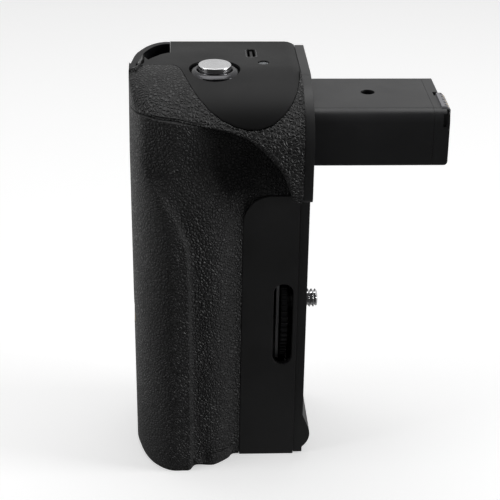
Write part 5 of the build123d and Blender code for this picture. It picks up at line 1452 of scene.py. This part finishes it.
def screw_head(name, radius, deep, long):
    """A pan head with a cross recess and its shank, pointing along +Y at the origin."""
    profile = ((0.0, 0.0, 0), (radius * 0.7, 0.0, 0.1), (radius, -0.35, 0.25), (radius, -deep, 0),
               (SHANK_R, -deep, 0), (SHANK_R, -long, 0.1), (0.0, -long, 0))
    obj = lathe(name, rounded_profile(profile, 3), (0.0, 0.0), "Y", 28)
    arm, half = radius * 0.55, radius * 0.13
    cross = ((arm, half), (half, half), (half, arm), (-half, arm), (-half, half), (-arm, half),
             (-arm, -half), (-half, -half), (-half, -arm), (half, -arm), (half, -half), (arm, -half))
    cut(obj, prism("cross_cutter", cross, -0.7, 0.5, "Y"))
    return obj


class GRIP_OT_fasteners(Step, bpy.types.Operator):
    """Casing screws at the back and plate screws in the seating face"""
    bl_idname = "battery_grip.fasteners"
    bl_label = "Fasteners"

    def build(self):
        self.case_screws()
        self.plate_screws()

    def case_screws(self):
        face = high("case_screws", 1)
        foot, top = span("case_screws", 2, CASE_HEAD_R)
        spots = [(x, face, z) for x in span("case_screws", 0, CASE_HEAD_R)
                 for z in (foot, CASE_SCREW_MID_Z, top)]
        shape = screw_head("case_screw", CASE_HEAD_R, 1.2, 5.9)
        obj = spread("case_screws_cross", shape, spots, "black_screw")
        smooth(obj)
        fit_out(obj, "black_screw", "grip", "black_screw", "case_screws")

    def plate_screws(self):
        face = high("plate_screws", 0)
        shape = screw_head("plate_screw", PLATE_HEAD_R, 1.3, 6.3)
        shape.data.transform(Matrix.Rotation(-math.pi / 2, 4, "Z"))
        spots = [(face, y, z) for y in span("plate_screws", 1, PLATE_HEAD_R)
                 for z in span("plate_screws", 2, PLATE_HEAD_R)]
        obj = spread("plate_screws_cross", shape, spots, "black_screw")
        smooth(obj)
        fit_out(obj, "black_screw", "grip", "black_screw", "plate_screws")


class GRIP_OT_back(Step, bpy.types.Operator):
    """Power knob, thumb rest and tripod socket"""
    bl_idname = "battery_grip.back"
    bl_label = "Back"
    softened = (("thumb_rest", "covering", "grip", "textured_rubber", 0.25, 3),
                ("tripod_insert", "brass", "grip", "brass", 0.2))

    def build(self):
        knob = copy_of("power_knob")
        bevel(knob, 0.2 * MM, 3)
        rib = slab("rib", (-0.2, -0.3, -1.9), (0.2, 0.22, 1.9), 0.15, 3)
        step = sizes().rib_pitch / MM
        spots = [(middle("power_knob", 0) + step * (i - (KNOB_RIBS - 1) / 2), high("power_knob", 1),
                  middle("power_knob", 2)) for i in range(KNOB_RIBS)]
        ribs = spread("knob_ribs", rib, spots, "satin")
        obj = join("power_knob_ribbed", knob, ribs)
        smooth(obj)
        fit_out(obj, "satin", "power_slider", "satin_plastic", "power_knob")


class GRIP_OT_foot(Step, bpy.types.Operator):
    """Battery door with its latch, pin and the battery catches"""
    bl_idname = "battery_grip.foot"
    bl_label = "Foot"
    softened = (("battery_door", "satin", "door", "satin_plastic", 0.25, 3),
                ("catch_left", "pale", "left_catch", "pale_plastic", 0.12),
                ("catch_right", "pale", "right_catch", "pale_plastic", 0.12))
    painted = (("door_pin", "steel"),)

    def build(self):
        latch = copy_of("door_latch")
        bevel(latch, 0.12 * MM, 2)
        rib = slab("rib", (-2.6, -0.16, -0.14), (2.6, 0.16, 0.2), 0.12, 2)
        spots = [(middle("door_latch", 0), LATCH_RIB_Y + LATCH_PITCH * i, low("door_latch", 2))
                 for i in range(LATCH_RIBS)]
        ribs = spread("latch_ribs", rib, spots, "satin")
        obj = join("door_latch_ribbed", latch, ribs)
        smooth(obj)
        fit_out(obj, "satin", "latch", "satin_plastic", "door_latch")


class GRIP_OT_inside(Step, bpy.types.Operator):
    """Battery box, boards, ribbons and switches inside the casing"""
    bl_idname = "battery_grip.inside"
    bl_label = "Inside"
    painted = (("battery_box", "inner"),
               ("battery_contacts", "gold"),
               ("contact_board", "board"),
               ("control_board", "board"),
               ("board_ribbon", "ribbon"),
               ("power_switch", "inner"))


def camera_from_photo():
    """The photograph's viewing angle, found by fitting the arm, the screw and the outline."""
    data = bpy.data.cameras.new("photo_camera")
    data.sensor_fit = "HORIZONTAL"
    data.sensor_width = SENSOR_WIDTH
    data.lens = SENSOR_WIDTH * FOCAL_PIXELS / PHOTO_PIXELS
    data.clip_start = 0.01
    ahead = Vector(CAMERA_AHEAD).normalized()
    up = Vector(CAMERA_RIGHT).normalized().cross(ahead).normalized()
    right = ahead.cross(up).normalized()
    turned = Matrix((right, up, -ahead)).transposed().to_4x4()
    obj = new_object("photo_camera", data)
    obj.matrix_world = Matrix.Translation(CAMERA_PLACE) @ turned
    bpy.context.scene.camera = obj


def soft_light(name, place, aim, width, long, energy):
    data = bpy.data.lights.new(name, "AREA")
    data.shape = "RECTANGLE"
    data.size = width
    data.size_y = long
    data.energy = energy
    obj = new_object(name, data)
    obj.location = place
    obj.rotation_euler = (Vector(aim) - Vector(place)).to_track_quat("-Z", "Y").to_euler()


def seen_share(tree):
    """Two shares, 1 or 0: rays that should meet white, and rays that are mirrored."""
    path = add(tree, "ShaderNodeLightPath")
    seen = sum_of(tree, "MAXIMUM", path.outputs["Is Camera Ray"], path.outputs["Is Transmission Ray"])
    return seen, path.outputs["Is Glossy Ray"]


def white_world(ambient):
    """White all round for the camera; for reflections white at the back and dimmer in front."""
    world = bpy.data.worlds.new("studio")
    bpy.context.scene.world = world
    tree = emptied(world)
    seen, mirrored = seen_share(tree)
    around = add(tree, "ShaderNodeTexCoord").outputs["Generated"]
    way = add(tree, "ShaderNodeSeparateXYZ", Vector=around)
    back = remap(tree, way.outputs["Y"], -0.25, 0.35, 0.06, 0.7)
    level = blend_colours(tree, mirrored, (ambient, ambient, ambient), back)
    level = blend_colours(tree, seen, level, (1.0, 1.0, 1.0))
    glow = add(tree, "ShaderNodeBackground", Color=level, Strength=1.0)
    add(tree, "ShaderNodeOutputWorld", Surface=glow.outputs[0])


def pale_floor():
    """Floor that the object stands on, pale for the camera and with the object's shadow."""
    half = FLOOR_HALF
    corners = [(-half, -half, FOOT_Z), (half, -half, FOOT_Z), (half, half, FOOT_Z),
               (-half, half, FOOT_Z)]
    obj = mesh_of("floor", corners, [(0, 1, 2, 3)])
    material = bpy.data.materials.new("floor_paper")
    tree = emptied(material)
    seen, mirrored = seen_share(tree)
    along = add(tree, "ShaderNodeSeparateXYZ", Vector=places(tree)).outputs["Y"]
    front = sum_of(tree, "MULTIPLY", mirrored, remap(tree, along, -0.06, 0.12, 1.0, 0.0))
    any_seen = sum_of(tree, "MAXIMUM", seen, sum_of(tree, "SUBTRACT", mirrored, front))
    paper = add(tree, "ShaderNodeBsdfDiffuse",
                Color=blend_colours(tree, front, (0.72, 0.72, 0.72), (0.05, 0.05, 0.05)))
    glow = add(tree, "ShaderNodeEmission", Color=(1.0, 1.0, 1.0, 1.0),
               Strength=sum_of(tree, "MULTIPLY", any_seen, 0.45))
    both = add(tree, "ShaderNodeAddShader")
    plug(tree, both, 0, paper.outputs[0])
    plug(tree, both, 1, glow.outputs[0])
    add(tree, "ShaderNodeOutputMaterial", Surface=both.outputs[0])
    obj.data.materials.append(material)


class GRIP_OT_stage(Step, bpy.types.Operator):
    """Floor, soft lights, background and camera"""
    bl_idname = "battery_grip.stage"
    bl_label = "Stage"

    def build(self):
        stage = bpy.context.scene.battery_grip_stage
        pale_floor()
        white_world(stage.ambient)
        for *light, energy in LIGHTS:
            soft_light(*light, getattr(stage, energy))
        camera_from_photo()
        bpy.context.scene.view_settings.view_transform = "Standard"


class GRIP_PT_panel(bpy.types.Panel):
    """Sizes, colours and light of the battery grip, and a button for every step"""
    bl_idname = "GRIP_PT_panel"
    bl_label = "Battery Grip"
    bl_space_type = "VIEW_3D"
    bl_region_type = "UI"
    bl_category = "Battery Grip"

    def draw(self, context):
        for group in (context.scene.battery_grip_sizes, context.scene.battery_grip_colours,
                      context.scene.battery_grip_stage):
            box = self.layout.box()
            for key in group.__annotations__:
                box.prop(group, key)
        for operator in OPERATORS:
            self.layout.operator(operator.bl_idname)


OPERATORS = (GRIP_OT_covering, GRIP_OT_shoulder, GRIP_OT_top, GRIP_OT_casing, GRIP_OT_arm, GRIP_OT_button,
             GRIP_OT_wheel, GRIP_OT_fasteners, GRIP_OT_back, GRIP_OT_foot, GRIP_OT_inside, GRIP_OT_stage)
CLASSES = (GripSizes, GripColours, GripStage) + OPERATORS + (GRIP_PT_panel,)


def register():
    for item in CLASSES:
        bpy.utils.register_class(item)
    bpy.types.Scene.battery_grip_sizes = PointerProperty(type=GripSizes)
    bpy.types.Scene.battery_grip_colours = PointerProperty(type=GripColours)
    bpy.types.Scene.battery_grip_stage = PointerProperty(type=GripStage)


def unregister():
    del bpy.types.Scene.battery_grip_stage
    del bpy.types.Scene.battery_grip_colours
    del bpy.types.Scene.battery_grip_sizes
    for item in reversed(CLASSES):
        bpy.utils.unregister_class(item)


def main():
    """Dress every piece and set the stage."""
    register()
    for operator in OPERATORS:
        group, name = operator.bl_idname.split(".")
        getattr(getattr(bpy.ops, group), name)()


if __name__ == "__main__":
    main()
